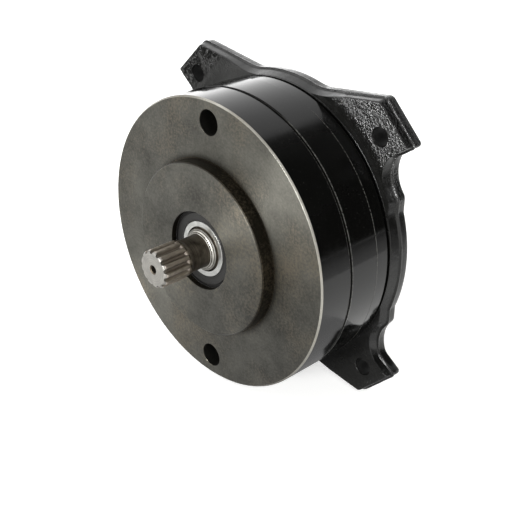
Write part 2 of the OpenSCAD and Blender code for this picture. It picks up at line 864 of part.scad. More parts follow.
module housing_screws() {
    socket_af = 6;
    head_chamfer = 0.6;
    tip = cap_end - screw_bite;
    head_end = screw_head_start + screw_head_h;
    color("dimgray")
        around(screw_angles)
            translate([screw_r, 0, 0])
                difference() {
                    union() {
                        rod(screw_d / 2, tip, screw_head_start);
                        turned([
                            [0, screw_head_start],
                            [screw_head_d / 2, screw_head_start],
                            [screw_head_d / 2, head_end - head_chamfer],
                            [screw_head_d / 2 - head_chamfer, head_end],
                            [0, head_end]
                        ]);
                    }
                    on_axis(head_end - screw_head_h / 2)
                        cylinder(d = socket_af / cos(30), h = screw_head_h, $fn = 6);
                }
}

module dowel_pins() {
    color("silver")
        around(dowel_angles) {
            side_rod(screw_r, dowel_d / 2, cap_end - dowel_l / 2, cap_end + dowel_l / 2);
            side_rod(screw_r, dowel_d / 2, ring_end - dowel_l / 2, ring_end + dowel_l / 2);
        }
}

// Rubber ring pressed into its groove, with rounded sides
module o_ring(r_out, y0) {
    corner = 0.4;
    steps = 4;
    outer = r_out - corner;
    inner = r_out - o_ring_deep + corner;
    front = y0 + corner;
    rear = y0 + o_ring_w - corner;
    turned(concat(
        arc(outer, front, corner, -90, 0, steps),
        arc(outer, rear, corner, 0, 90, steps),
        arc(inner, rear, corner, 90, 180, steps),
        arc(inner, front, corner, 180, 270, steps)
    ));
}

module front_o_ring() {
    color([0.1, 0.1, 0.1])
        o_ring(register_r, o_ring_front);
}

module rear_o_ring() {
    color([0.1, 0.1, 0.1])
        o_ring(cavity_r, o_ring_rear);
}

module lead_grommet() {
    flange_r = grommet_d / 2 + 2;
    flange_over = 1.2;
    hole_r = lead_hole_d / 2;
    hole_wall = 0.5;
    color([0.12, 0.12, 0.12])
        difference() {
            union() {
                lead_bore(grommet_d / 2, cavity_r, body_r);
                lead_bore(flange_r, spot_face_r, body_r + flange_over);
            }
            for (side = [-1, 1])
                translate([0, 0, side * (hole_r + hole_wall)])
                    lead_bore(hole_r, cavity_r - past, body_r + 2 * past);
        }
}

// Shaft and hub
module shaft() {
    seat_r = front_bore_d / 2;
    hub_seat_r = hub_seat_d / 2;
    rear_seat_r = rear_bore_d / 2;
    end_chamfer = 1;
    collar_end = hub_end + collar_w;
    shaft_neck_r = neck_d / 2;
    lead_r = seat_r - 0.3;
    bar_r = spline_tip_r + 0.1;
    color("tan")
        difference() {
            union() {
                intersection() {
                    spline_bar(0, -shaft_out, spline_end);
                    turned([
                        [0, -shaft_out],
                        [spline_tip_r - end_chamfer, -shaft_out],
                        [bar_r, -shaft_out + end_chamfer],
                        [bar_r, spline_end],
                        [0, spline_end]
                    ]);
                }
                turned([
                    [0, spline_end],
                    [shaft_neck_r, spline_end],
                    [shaft_neck_r, seat_start - neck_cone_l],
                    [lead_r, seat_start - seat_lead],
                    [lead_r, seat_start],
                    [seat_r, seat_start + 0.3],
                    [seat_r, front_bearing_end],
                    [hub_seat_r, front_bearing_end],
                    [hub_seat_r, hub_circlip_start],
                    [hub_seat_r - hub_groove_deep, hub_circlip_start],
                    [hub_seat_r - hub_groove_deep, hub_start],
                    [hub_seat_r, hub_start],
                    [hub_seat_r, hub_end],
                    [collar_r, hub_end],
                    [collar_r, collar_end],
                    [rear_shoulder_r, collar_end],
                    [rear_shoulder_r, rear_bearing_start],
                    [rear_seat_r, rear_bearing_start],
                    [rear_seat_r, shaft_end - small_chamfer],
                    [rear_seat_r - small_chamfer, shaft_end],
                    [0, shaft_end]
                ]);
            }
            rod(centre_hole_d / 2, -shaft_out - past, -shaft_out + centre_hole_deep);
            mouth_chamfer(0, centre_hole_d / 2, small_chamfer, -shaft_out);
            spline_bar(socket_clear, socket_floor, shaft_end + past);
            mouth_chamfer(0, spline_tip_r - 0.2, 1, shaft_end, -1);
            translate([-key_w / 2, key_start, key_floor_r])
                cube([key_w, key_l, hub_seat_r]);
        }
}

module hub_key() {
    color("silver")
        translate([-key_w / 2, key_start, key_floor_r])
            cube([key_w, key_l, key_top_r - key_floor_r]);
}

// Hexagonal bar along the axis with one corner pointing up
module hexagon(af, y0, y1) {
    on_axis(y0)
        rotate([0, 0, 30])
            cylinder(r = af / 2 / cos(30), h = y1 - y0, $fn = 6);
}

module drive_hub() {
    keyway_r = key_top_r + slide_clear;
    corner_over = 4;
    corner_bevel = 2.3;
    color("lightsteelblue")
        difference() {
            intersection() {
                hexagon(hub_af, hub_start, hub_end);
                turned([
                    [0, hub_start],
                    [hub_af / 2, hub_start],
                    [hub_af / 2 + corner_over, hub_start + corner_bevel],
                    [hub_af / 2 + corner_over, hub_end - corner_bevel],
                    [hub_af / 2, hub_end],
                    [0, hub_end]
                ]);
            }
            rod(hub_seat_d / 2, hub_start - past, hub_end + past);
            translate([-key_w / 2, hub_start - past, 0])
                cube([key_w, hub_l + 2 * past, keyway_r]);
        }
}

module hub_circlip() {
    seat_r = hub_seat_d / 2 - hub_groove_deep;
    color("gray")
        circlip(seat_r, seat_r + 2.8, seat_r + 4.4, hub_circlip_start);
}

module front_bearing_inner() {
    color("gainsboro")
        race(front_bore_d / 2, front_inner_race_r, front_bearing_start, front_bearing_end,
            front_ball_pitch_r, front_ball_d / 2);
}

module rear_bearing_inner() {
    color("gainsboro")
        race(rear_bore_d / 2, rear_inner_race_r, rear_bearing_start, rear_bearing_end,
            rear_ball_pitch_r, rear_ball_d / 2);
}

module front_balls() {
    color("white")
        balls(front_ball_pitch_r, front_ball_d / 2, front_ball_count,
            front_bearing_start + front_w / 2);
}

module front_cage() {
    color("goldenrod")
        cage(front_ball_pitch_r, front_ball_d / 2, front_ball_count,
            front_bearing_start + front_w / 2);
}

module rear_balls() {
    color("white")
        balls(rear_ball_pitch_r, rear_ball_d / 2, rear_ball_count, rear_bearing_start + rear_w / 2);
}

module rear_cage() {
    color("goldenrod")
        cage(rear_ball_pitch_r, rear_ball_d / 2, rear_ball_count, rear_bearing_start + rear_w / 2);
}

// Friction disc
module disc_core() {
    color("slategray")
        difference() {
            rod(core_r, core_start, rear_lining_start);
            hexagon(hub_af + 2 * slide_clear, core_start - past, rear_lining_start + past);
        }
}

// Friction lining with shallow radial dust slots on the working side
module lining(y0, slot_y) {
    slot_w = 2;
    color("darkolivegreen")
        difference() {
            tube(lining_in_r, lining_out_r, y0, y0 + lining_t);
            around([for (i = [0:5]) i * 60 + 30])
                translate([lining_in_r - past, slot_y, -slot_w / 2])
                    cube([lining_out_r, lining_slot_deep, slot_w]);
        }
}

module front_lining() {
    lining(wall_t, wall_t);
}

module rear_lining() {
    lining(rear_lining_start, armature_start - lining_slot_deep);
}

module armature_plate() {
    slot_r = torque_pin_d / 2 + free_clear;
    spring_seat_edge = 0.5;
    inner_r = spring_pitch_r - spring_d / 2 - spring_seat_edge;
    outer_r = cavity_r - 2 * free_clear;
    color("silver")
        difference() {
            tube(inner_r, outer_r, armature_start, armature_end);
            around(pin_angles) {
                side_rod(torque_pin_r, slot_r, armature_start - past, armature_end + past);
                translate([torque_pin_r, armature_start - past, -slot_r])
                    cube([outer_r, armature_t + 2 * past, 2 * slot_r]);
            }
        }
}

front_cap();
housing_ring();
magnet_housing();
front_bearing_outer();
front_bearing_seals();
front_bearing_circlip();
rear_bearing_outer();
rear_bearing_seal();
rear_bearing_circlip();
coil_bobbin();
coil_winding();
springs();
torque_pins();
housing_screws();
dowel_pins();
front_o_ring();
rear_o_ring();
lead_grommet();
shaft();
hub_key();
drive_hub();
hub_circlip();
front_bearing_inner();
rear_bearing_inner();
front_balls();
front_cage();
rear_balls();
rear_cage();
disc_core();
front_lining();
rear_lining();
armature_plate();
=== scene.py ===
import math

import bpy
import numpy as np
from mathutils import Matrix, Vector


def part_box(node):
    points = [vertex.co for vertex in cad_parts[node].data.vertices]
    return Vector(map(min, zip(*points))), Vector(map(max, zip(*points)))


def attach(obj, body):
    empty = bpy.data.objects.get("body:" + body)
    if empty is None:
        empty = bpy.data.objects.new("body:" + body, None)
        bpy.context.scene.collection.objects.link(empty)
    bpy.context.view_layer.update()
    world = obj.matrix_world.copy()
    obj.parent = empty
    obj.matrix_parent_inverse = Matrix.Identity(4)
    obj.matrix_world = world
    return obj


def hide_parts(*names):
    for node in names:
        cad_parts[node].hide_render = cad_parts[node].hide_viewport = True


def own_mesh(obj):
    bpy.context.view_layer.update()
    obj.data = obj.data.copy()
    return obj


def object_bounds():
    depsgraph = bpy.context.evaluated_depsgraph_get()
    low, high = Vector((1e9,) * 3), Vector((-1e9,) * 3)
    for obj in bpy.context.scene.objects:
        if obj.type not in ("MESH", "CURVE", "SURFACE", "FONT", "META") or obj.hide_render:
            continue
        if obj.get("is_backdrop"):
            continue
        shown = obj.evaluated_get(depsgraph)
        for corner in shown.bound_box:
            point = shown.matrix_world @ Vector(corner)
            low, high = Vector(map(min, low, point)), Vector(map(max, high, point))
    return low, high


bl_info = {
    "name": "Electromagnetic motor brake looks",
    "version": (1, 0, 0),
    "blender": (4, 5, 0),
    "location": "View3D > Sidebar > Motor brake",
    "description": "Dresses the packed motor brake: turned iron, gloss bands, cast ears, splined shaft",
    "category": "Object",
}

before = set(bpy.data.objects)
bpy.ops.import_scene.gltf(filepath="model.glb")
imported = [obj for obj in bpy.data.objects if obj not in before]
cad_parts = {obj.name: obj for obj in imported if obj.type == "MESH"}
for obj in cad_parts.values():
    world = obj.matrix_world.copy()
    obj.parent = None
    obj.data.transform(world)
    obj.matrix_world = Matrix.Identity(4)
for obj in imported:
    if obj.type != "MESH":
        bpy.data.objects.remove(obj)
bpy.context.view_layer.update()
MM = 0.001

# Sizes in millimetres. OUT is how far an axis or a centre is from the shaft's axis.

BODY_R = 85.5
PILOT_R = 50.8
RIM_R = 88.0
BOLT_HOLE_R = 7.15
BOLT_OUT = 73.025
PIN_OUT = 57.8
SPRING_OUT = 29
EAR_OUT = 100.975
BALL_OUT = 19.25
LEAD_Y = 44

# Steps round a turned body, a bearing ring and a seal

BODY_STEPS = 288
RING_STEPS = 192
SEAL_STEPS = 160

# Directions of the housing's holes in degrees, from X towards Z

BOLT_ANGLES = (90, 270)
SCREW_ANGLES = (30, 150, 210, 330)
DOWEL_ANGLES = (10, 190)
PIN_ANGLES = (0, 120, 240)
EAR_ANGLES = (45, 135, 225, 315)
SPRING_ANGLES = (30, 90, 150, 210, 270, 330)

# Vectors for the materials: the part across the shaft, and the ways to the two upper ears

FLAT = (1, 0, 1)
RIGHT_EAR_WAY = (0.707, 0, 0.707)
LEFT_EAR_WAY = (-0.707, 0, 0.707)


def linear(code):
    """Linear RGBA of an sRGB hex value such as #0c0c0b."""
    value = np.array([int(code[i:i + 2], 16) for i in (1, 3, 5)]) / 255
    rgb = np.where(value <= 0.04045, value / 12.92, ((value + 0.055) / 1.055) ** 2.4)
    return (*rgb.tolist(), 1.0)


def tint(title, use, code):
    """Colour property whose default is an sRGB hex value."""
    return bpy.props.FloatVectorProperty(
        name=title, description=use, subtype="COLOR", size=4, min=0, max=1, default=linear(code))


def length(title, use, millimetres):
    """Length property whose default is given in millimetres."""
    return bpy.props.FloatProperty(
        name=title, description=use, unit="LENGTH", precision=5, min=0, default=millimetres * MM)


class BrakeColours(bpy.types.PropertyGroup):
    """Colours of the outer finishes."""

    iron_dark: tint("Iron, dark", "Darker patches of the turned mounting face", "#3d3c38")
    iron_light: tint("Iron, light", "Lighter patches of the turned mounting face", "#585751")
    enamel: tint("Enamel", "Gloss paint of the two bands", "#0b0b0a")
    cast_paint: tint("Cast paint", "Paint of the rear casting", "#0e0e0d")
    # The spline's two colours carry a painted highlight on the tips and painted shade in the gaps
    spline_dark: tint("Spline, dark", "Flanks and gaps of the spline", "#726a62")
    spline_light: tint("Spline, light", "Tips of the spline", "#b0a79c")
    floor: tint("Floor", "Floor round the brake", "#f4f4f2")


class BrakeSizes(bpy.types.PropertyGroup):
    """Sizes of the fine forms that the solids leave out."""

    edge_round: length("Edge rounding", "Rounding of the ring's painted edges", 0.5)
    cast_wave: length("Casting wave", "Height of the waves in the cast surface", 0.16)
    ridge_wander: length("Ridge wander", "How far the parting ridge strays sideways", 0.22)
    tooth_round: length("Tooth rounding", "Rounding of the spline's tips and roots", 0.3)
    peel_size: length("Paint peel", "Width of one dimple in the gloss paint", 3.5)
    cast_grain: length("Cast grain", "Width of one grain of the sand-cast skin", 1.1)


def sizes():
    return bpy.context.scene.brake_sizes


def colours():
    return bpy.context.scene.brake_colours


# Outlines and profiles, in millimetres

def arc(centre, radius, start, end, count):
    """Points centre + radius * (cos a, sin a), with a from start to end degrees in count steps."""
    angle = np.radians(np.linspace(start, end, count + 1))
    return np.column_stack([centre[0] + radius * np.cos(angle), centre[1] + radius * np.sin(angle)])


def direction(angle):
    return np.array([math.cos(math.radians(angle)), math.sin(math.radians(angle))])


def straight(start, end, count):
    """Count points between start and end, without the two ends."""
    t = np.linspace(0, 1, count + 2)[1:-1, None]
    return np.asarray(start) * (1 - t) + np.asarray(end) * t


def eased(share):
    """Rises from 0 to 1 with share, level at both ends."""
    return share * share * (3 - 2 * share)


def softened(corners, radius, steps=3):
    """Closed profile with each corner replaced by an arc of the given radius. The arc touches both
    sides at radius / tan(half the corner's angle) from the corner, or at 0.45 of the shorter side."""
    p = np.asarray(corners, float)
    to_last = np.roll(p, 1, 0) - p
    to_next = np.roll(p, -1, 0) - p
    last_length = np.linalg.norm(to_last, axis=1)
    next_length = np.linalg.norm(to_next, axis=1)
    u = to_last / last_length[:, None]
    v = to_next / next_length[:, None]
    half = np.arccos(np.clip((u * v).sum(1), -0.999999, 0.999999)) / 2
    reach = np.minimum(np.broadcast_to(radius, len(p)) / np.tan(half),
                       0.45 * np.minimum(last_length, next_length))
    middle = u + v
    middle /= np.linalg.norm(middle, axis=1)[:, None]
    centre = p + middle * (reach / np.cos(half))[:, None]
    start = p + u * reach[:, None] - centre
    end = p + v * reach[:, None] - centre
    turn = (np.pi - 2 * half)[:, None]
    t = np.linspace(0, 1, steps + 1)
    first = np.sin((1 - t) * turn) / np.sin(turn)
    second = np.sin(t * turn) / np.sin(turn)
    points = centre[:, None] + first[..., None] * start[:, None] + second[..., None] * end[:, None]
    points = points.reshape(-1, 2)
    apart = np.linalg.norm(points - np.roll(points, 1, 0), axis=1) > 1e-4
    return points[apart]


def rounded(table):
    """Closed profile from corners of (radius, y, rounding)."""
    table = np.array(table)
    return softened(table[:, :2], table[:, 2], 4)


def corner(before, point, after, radius, count):
    """Arc of the given radius that rounds the corner at point between its two neighbours."""
    u = (before - point) / np.linalg.norm(before - point)
    v = (after - point) / np.linalg.norm(after - point)
    half = math.acos(float(u @ v)) / 2
    reach = radius / math.tan(half)
    centre = point + (u + v) / np.linalg.norm(u + v) * radius / math.sin(half)
    start = point + u * reach - centre
    end = point + v * reach - centre
    turn = math.pi - 2 * half
    t = np.linspace(0, 1, count + 1)[:, None]
    return centre + (np.sin((1 - t) * turn) * start + np.sin(t * turn) * end) / math.sin(turn)


# Meshes

def polar(radius, y, angles):
    """Points about the Y axis: x = radius cos a, z = radius sin a."""
    return np.stack(np.broadcast_arrays(radius * np.cos(angles), y, radius * np.sin(angles)), axis=-1)


def around_axis(profile, angles):
    """Grid of a profile of (radius, y) turned about the Y axis."""
    radius, y = np.asarray(profile, float).T
    return polar(radius[:, None], y[:, None], angles)


def even_angles(count):
    return np.linspace(0, 2 * np.pi, count, endpoint=False)


def solid(grid, poles=None):
    """Vertices and faces of a closed surface on a grid whose columns run round. Its rows close on
    each other, or with poles end in a point each, and its faces are turned to point outwards."""
    rows, columns = grid.shape[:2]
    verts = grid.reshape(-1, 3)
    last = rows if poles is None else rows - 1
    row, column = np.meshgrid(np.arange(last), np.arange(columns), indexing="ij")
    next_row = (row + 1) % rows
    next_column = (column + 1) % columns
    quads = np.stack([
        row * columns + column, row * columns + next_column,
        next_row * columns + next_column, next_row * columns + column,
    ], axis=-1).reshape(-1, 4)
    fans = np.zeros((0, 3), int)
    if poles is not None:
        around = np.arange(columns)
        after = (around + 1) % columns
        base = rows * columns
        end_row = (rows - 1) * columns
        fans = np.concatenate([
            np.column_stack([after, around, np.full(columns, base)]),
            np.column_stack([end_row + around, end_row + after, np.full(columns, base + 1)]),
        ])
        verts = np.concatenate([verts, np.asarray(poles, float)])
    halves = np.concatenate([quads[:, :3], quads[:, [0, 2, 3]], fans])
    a, b, c = (verts[halves[:, i]] for i in range(3))
    if np.einsum("ij,ij->", a, np.cross(b, c)) < 0:
        quads = quads[:, ::-1]
        fans = fans[:, ::-1]
    return verts, quads, fans


def joined(parts):
    """One set of vertices and faces from several."""
    offsets = np.cumsum([0] + [len(part[0]) for part in parts[:-1]])
    return (np.concatenate([part[0] for part in parts]),
            np.concatenate([part[1] + o for part, o in zip(parts, offsets)]),
            np.concatenate([part[2] + o for part, o in zip(parts, offsets)]))


def linked(name, data):
    """New object of the scene."""
    made = bpy.data.objects.new(name, data)
    bpy.context.scene.collection.objects.link(made)
    return made


def add_object(name, parts, materials, finish=None, columns=None):
    """Object in metres from vertices and faces in millimetres. finish is the material's place for each
    quad. With columns, the UV map named turned has the way round in u and the way along in v."""
    verts, quads, fans = parts
    mesh = bpy.data.meshes.new(name)
    mesh.from_pydata((verts * MM).tolist(), [], quads.tolist() + fans.tolist())
    for material in materials:
        mesh.materials.append(material)
    if finish is not None:
        slots = np.concatenate([np.broadcast_to(finish, len(quads)), np.zeros(len(fans), int)])
        mesh.polygons.foreach_set("material_index", slots.astype(np.int32))
    mesh.polygons.foreach_set("use_smooth", np.ones(len(mesh.polygons), bool))
    if columns:
        corners = np.zeros(len(mesh.loops), np.int32)
        mesh.loops.foreach_get("vertex_index", corners)
        place = np.column_stack([corners % columns / columns, corners // columns * 0.01])
        seam = np.repeat(quads.max(1) % columns == columns - 1, 4)
        first = corners[:len(seam)] % columns == 0
        place[:len(seam)][seam & first, 0] = 1.0
        mesh.uv_layers.new(name="turned").data.foreach_set("uv", place.ravel())
    return linked(name, mesh)


def row_finish(profile, choose, columns):
    """Material's place for each quad of a turned piece, chosen from the middle of its profile side."""
    middle = (profile + np.roll(profile, -1, 0)) / 2
    return np.repeat(choose(middle[:, 0], middle[:, 1]), columns)


def turning(name, profile, columns, materials, choose=None, mapped=False):
    """Object turned from a profile. choose gives the places of the materials from arrays of the radius
    and y of the sides' middles. If mapped, it has the UV map."""
    finish = row_finish(profile, choose, columns) if choose else None
    parts = solid(around_axis(profile, even_angles(columns)))
    return add_object(name, parts, materials, finish, columns if mapped else None)


def bake(made):
    """Replaces an object's mesh by what its modifiers make of it."""
    graph = bpy.context.evaluated_depsgraph_get()
    mesh = bpy.data.meshes.new_from_object(
        made.evaluated_get(graph), preserve_all_data_layers=True, depsgraph=graph)
    raw = made.data
    mesh.name = raw.name
    made.modifiers.clear()
    made.data = mesh
    bpy.data.meshes.remove(raw)


def bore(made, cutters, drilled=0):
    """Cuts the joined cutters out of an object. drilled is the place of the material for the walls."""
    tool = add_object("cutter", joined(cutters), list(made.data.materials))
    mesh = tool.data
    mesh.polygons.foreach_set("material_index", np.full(len(mesh.polygons), drilled, np.int32))
    cut = made.modifiers.new("bores", "BOOLEAN")
    cut.operation = "DIFFERENCE"
    cut.solver = "EXACT"
    cut.object = tool
    bake(made)
    bpy.data.objects.remove(tool)
    bpy.data.meshes.remove(mesh)


def clean_shading(made, sharp):
    """Marks edges over sharp degrees and lets the large faces lead the normals beside them."""
    made.data.set_sharp_from_angle(angle=math.radians(sharp))
    weigh = made.modifiers.new("clean shading", "WEIGHTED_NORMAL")
    weigh.keep_sharp = True
    weigh.weight = 90
    bake(made)


def y_range(piece):
    """Lowest and highest y of a CAD piece, in millimetres."""
    low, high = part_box(piece)
    return low[1] / MM, high[1] / MM


def place(made, body, nodes, slot, sharp=30):
    """Cleans a piece's shading, unless sharp is nought, gives the piece its body and hides the CAD nodes
    that it stands for. slot is not used."""
    if sharp:
        clean_shading(made, sharp)
    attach(made, body)
    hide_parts(*nodes)


def copies(part, out, angles, y=0):
    """Copies of a part, each moved along by y and to the distance out in one of the directions."""
    verts, quads, fans = part
    made = []
    for angle in angles:
        x, z = out * direction(angle)
        made.append((verts + [x, y, z], quads, fans))
    return made


def drill(out, angles, profile, count=48):
    """Cutters turned from a profile of (radius, y), with their axes at distance out in each direction."""
    profile = np.asarray(profile, float)
    poles = [[0, profile[0, 1], 0], [0, profile[-1, 1], 0]]
    return copies(solid(around_axis(profile, even_angles(count)), poles), out, angles)


def side_drill(radius, low_x, high_x, z=0):
    """Straight cutter along X at height z, in the plane of the leads."""
    verts, quads, fans = drill(0, [0], [(radius, low_x), (radius, high_x)])[0]
    return verts[:, [1, 0, 2]] * [1, 1, -1] + [0, LEAD_Y, z], quads, fans


# Materials

def add(tree, kind, inputs=None, **settings):
    """Adds a node, sets its settings, and gives each input a link, a value or a hex colour. Gives what
    comes out of the node."""
    made = tree.nodes.new("ShaderNode" + kind)
    for name, value in settings.items():
        setattr(made, name, value)
    for key, value in (inputs or {}).items():
        socket = made.inputs[key]
        if isinstance(value, bpy.types.NodeSocket):
            tree.links.new(value, socket)
        else:
            socket.default_value = linear(value) if isinstance(value, str) else value
    return made.outputs


def emptied(holder):
    """Node tree of a material or a world, with nothing in it yet."""
    holder.use_nodes = True
    holder.node_tree.nodes.clear()
    return holder.node_tree


def begin(name):
    """Empty material with its tree, its Object coordinates and its distance from the shaft's axis."""
    material = bpy.data.materials.new(name)
    tree = emptied(material)
    at = add(tree, "TexCoord")["Object"]
    across = add(tree, "VectorMath", {0: at, 1: FLAT}, operation="MULTIPLY")[0]
    return material, tree, at, add(tree, "VectorMath", {0: across}, operation="LENGTH")["Value"]


def per(millimetres):
    """Noise scale at which one blotch is about this wide."""
    return 1 / (millimetres * MM)


def turned_iron(name, dark, light, rough=(0.34, 0.5), anisotropy=0.0, corner_shade_strength=0.0):
    """Grey cast iron, faced on a lathe. Fine rings, soft blotches and dark specks where the graphite and a
    little rust show, and a dull shine that stretches across the rings. The last argument is the strength of
    a painted shade, dark brown, in the corner at the foot of the boss."""
    material, tree, at, radius = begin(name)
    rings = add(tree, "TexNoise", {"W": radius, "Scale": per(0.7), "Detail": 3}, noise_dimensions="1D")[0]
    blotch = add(tree, "TexNoise", {"Vector": at, "Scale": per(24), "Detail": 6, "Roughness": 0.66})[0]
    speck = add(tree, "TexNoise", {"Vector": at, "Scale": per(1.5), "Detail": 4, "Roughness": 0.7})[0]
    mixed = add(tree, "Math", {0: speck, 1: 0.45, 2: blotch}, operation="MULTIPLY_ADD")[0]
    ringed = add(tree, "Math", {0: rings, 1: 0.14, 2: mixed}, operation="MULTIPLY_ADD")[0]
    tone = add(tree, "MapRange", {"Value": ringed, "From Min": 0.58, "From Max": 1.02})[0]
    metal = add(tree, "Mix", {0: tone, 6: dark, 7: light}, data_type="RGBA")[2]
    warm = add(tree, "TexNoise", {"Vector": at, "Scale": per(38), "Detail": 3})[0]
    rust = add(tree, "Math", {0: warm, 1: speck}, operation="MULTIPLY")[0]
    rust = add(tree, "MapRange", {"Value": rust, "From Min": 0.25, "From Max": 0.4, "To Max": 0.5})[0]
    metal = add(tree, "Mix", {0: rust, 6: metal, 7: "#6a6152"}, data_type="RGBA")[2]
    # Painted shade: dark brown in the corner at the foot of the boss, fading out 3.7 mm from it
    foot = add(tree, "MapRange", {"Value": radius, "From Min": PILOT_R * MM,
                                  "From Max": (PILOT_R + 3.7) * MM, "To Min": corner_shade_strength, "To Max": 0})[0]
    outside = add(tree, "Math", {0: radius, 1: (PILOT_R - 0.5) * MM}, operation="GREATER_THAN")[0]
    corner_shade = add(tree, "Math", {0: foot, 1: outside}, operation="MULTIPLY")[0]
    metal = add(tree, "Mix", {0: corner_shade, 6: metal, 7: "#1d1a15"}, data_type="RGBA")[2]
    dull = add(tree, "MapRange", {"Value": mixed, "From Min": 0.45, "From Max": 1.0, "To Min": rough[1],
                                  "To Max": rough[0]})[0]
    height = add(tree, "Math", {0: speck, 1: 0.6, 2: rings}, operation="MULTIPLY_ADD")[0]
    bump = add(tree, "Bump", {"Strength": 0.25, "Distance": 0.05 * MM, "Height": height})
    shading = {"Base Color": metal, "Metallic": 1.0, "Roughness": dull, "Normal": bump[0]}
    if anisotropy:
        along = add(tree, "Tangent", direction_type="UV_MAP", uv_map="turned")
        shading |= {"Anisotropic": anisotropy, "Anisotropic Rotation": 0.25, "Tangent": along[0]}
    shader = add(tree, "BsdfPrincipled", shading)
    add(tree, "OutputMaterial", {"Surface": shader["BSDF"]})
    return material


def near_plane(tree, y, plane, reach):
    """One within reach of a plane y, and zero 0.4 mm further away. Both are given in millimetres."""
    off = add(tree, "Math", {0: y, 1: plane * MM}, operation="SUBTRACT")[0]
    off = add(tree, "Math", {0: off}, operation="ABSOLUTE")[0]
    return add(tree, "MapRange", {"Value": off, "From Min": reach * MM, "From Max": (reach + 0.4) * MM,
                                  "To Min": 1, "To Max": 0})[0]


def gloss_enamel(name, colour, seam, step):
    """Black gloss enamel, sprayed. Nearly a mirror, with a faint peel and a little settled dust. At the
    groove beside plane seam and at plane step the paint has gathered on the edge: on the right side that
    edge is painted pale and made rougher, as a painted highlight, and by the groove on the top and left side
    it's dull with its shine taken out, as painted shade. Beside the upper right ear it's duller and has less
    shine."""
    material, tree, at, _ = begin(name)
    peel = add(tree, "TexNoise", {"Vector": at, "Scale": per(sizes().peel_size / MM), "Detail": 1})[0]
    cloud = add(tree, "TexNoise", {"Vector": at, "Scale": per(16), "Detail": 4})[0]
    dust = add(tree, "TexNoise", {"Vector": at, "Scale": per(0.9), "Detail": 3})[0]
    parts = add(tree, "SeparateXYZ", {0: at})
    right = add(tree, "MapRange", {"Value": parts["X"], "From Min": 30 * MM, "From Max": 42 * MM})[0]
    y = parts["Y"]
    edge = add(tree, "Math", {0: near_plane(tree, y, seam, 0.2), 1: near_plane(tree, y, step, 0.2)},
               operation="MAXIMUM")[0]
    edge = add(tree, "Math", {0: edge, 1: right}, operation="MULTIPLY")[0]
    # Painted shade: by the groove, away from the right side, the shine is taken out so the groove's dark
    # line reads wider
    bare = add(tree, "Math", {0: near_plane(tree, y, seam, 0.5), 1: right}, operation="SUBTRACT",
               use_clamp=True)[0]
    # Painted highlight: on the right side the gathered edges are painted pale and made rougher
    rubbed = add(tree, "MapRange", {"Value": dust, "From Min": 0.4, "From Max": 0.55})[0]
    rubbed = add(tree, "Math", {0: rubbed, 1: edge}, operation="MULTIPLY")[0]
    specks = add(tree, "MapRange", {"Value": dust, "From Min": 0.68, "From Max": 0.78, "To Max": 0.3})[0]
    pale = add(tree, "Math", {0: rubbed, 1: 0.8, 2: specks}, operation="MULTIPLY_ADD", use_clamp=True)[0]
    base = add(tree, "Mix", {0: pale, 6: colour, 7: "#6a6a65"}, data_type="RGBA")[2]
    dull = add(tree, "MapRange", {"Value": cloud, "From Min": 0.35, "From Max": 0.7, "To Min": 0.07,
                                  "To Max": 0.17})[0]
    dull = add(tree, "Math", {0: rubbed, 1: 0.3, 2: dull}, operation="MULTIPLY_ADD")[0]
    dull = add(tree, "Math", {0: bare, 1: 0.5, 2: dull}, operation="MULTIPLY_ADD")[0]
    shine = add(tree, "MapRange", {"Value": bare, "To Min": 0.34, "To Max": 0.03})[0]
    corner_way = add(tree, "VectorMath", {0: at, 1: RIGHT_EAR_WAY}, operation="DOT_PRODUCT")["Value"]
    # Beside the upper right ear the paint gets rougher and loses shine, which darkens the band there
    near_right_ear = add(tree, "MapRange", {"Value": corner_way, "From Min": 0.0805, "From Max": 0.084})[0]
    dull = add(tree, "Math", {0: near_right_ear, 1: 0.2, 2: dull}, operation="MULTIPLY_ADD")[0]
    lost = add(tree, "Math", {0: near_right_ear, 1: 0.2}, operation="MULTIPLY")[0]
    shine = add(tree, "Math", {0: shine, 1: lost}, operation="SUBTRACT", use_clamp=True)[0]
    wavy = add(tree, "Bump", {"Strength": 0.1, "Distance": 0.06 * MM, "Height": peel})
    grainy = add(tree, "Math", {0: dust, 1: edge}, operation="MULTIPLY")[0]
    bump = add(tree, "Bump", {"Strength": 0.5, "Distance": 0.3 * MM, "Height": grainy, "Normal": wavy[0]})
    shader = add(tree, "BsdfPrincipled", {"Base Color": base, "Roughness": dull, "IOR": 1.5,
                                          "Specular IOR Level": shine, "Normal": bump[0]})
    add(tree, "OutputMaterial", {"Surface": shader["BSDF"]})
    return material


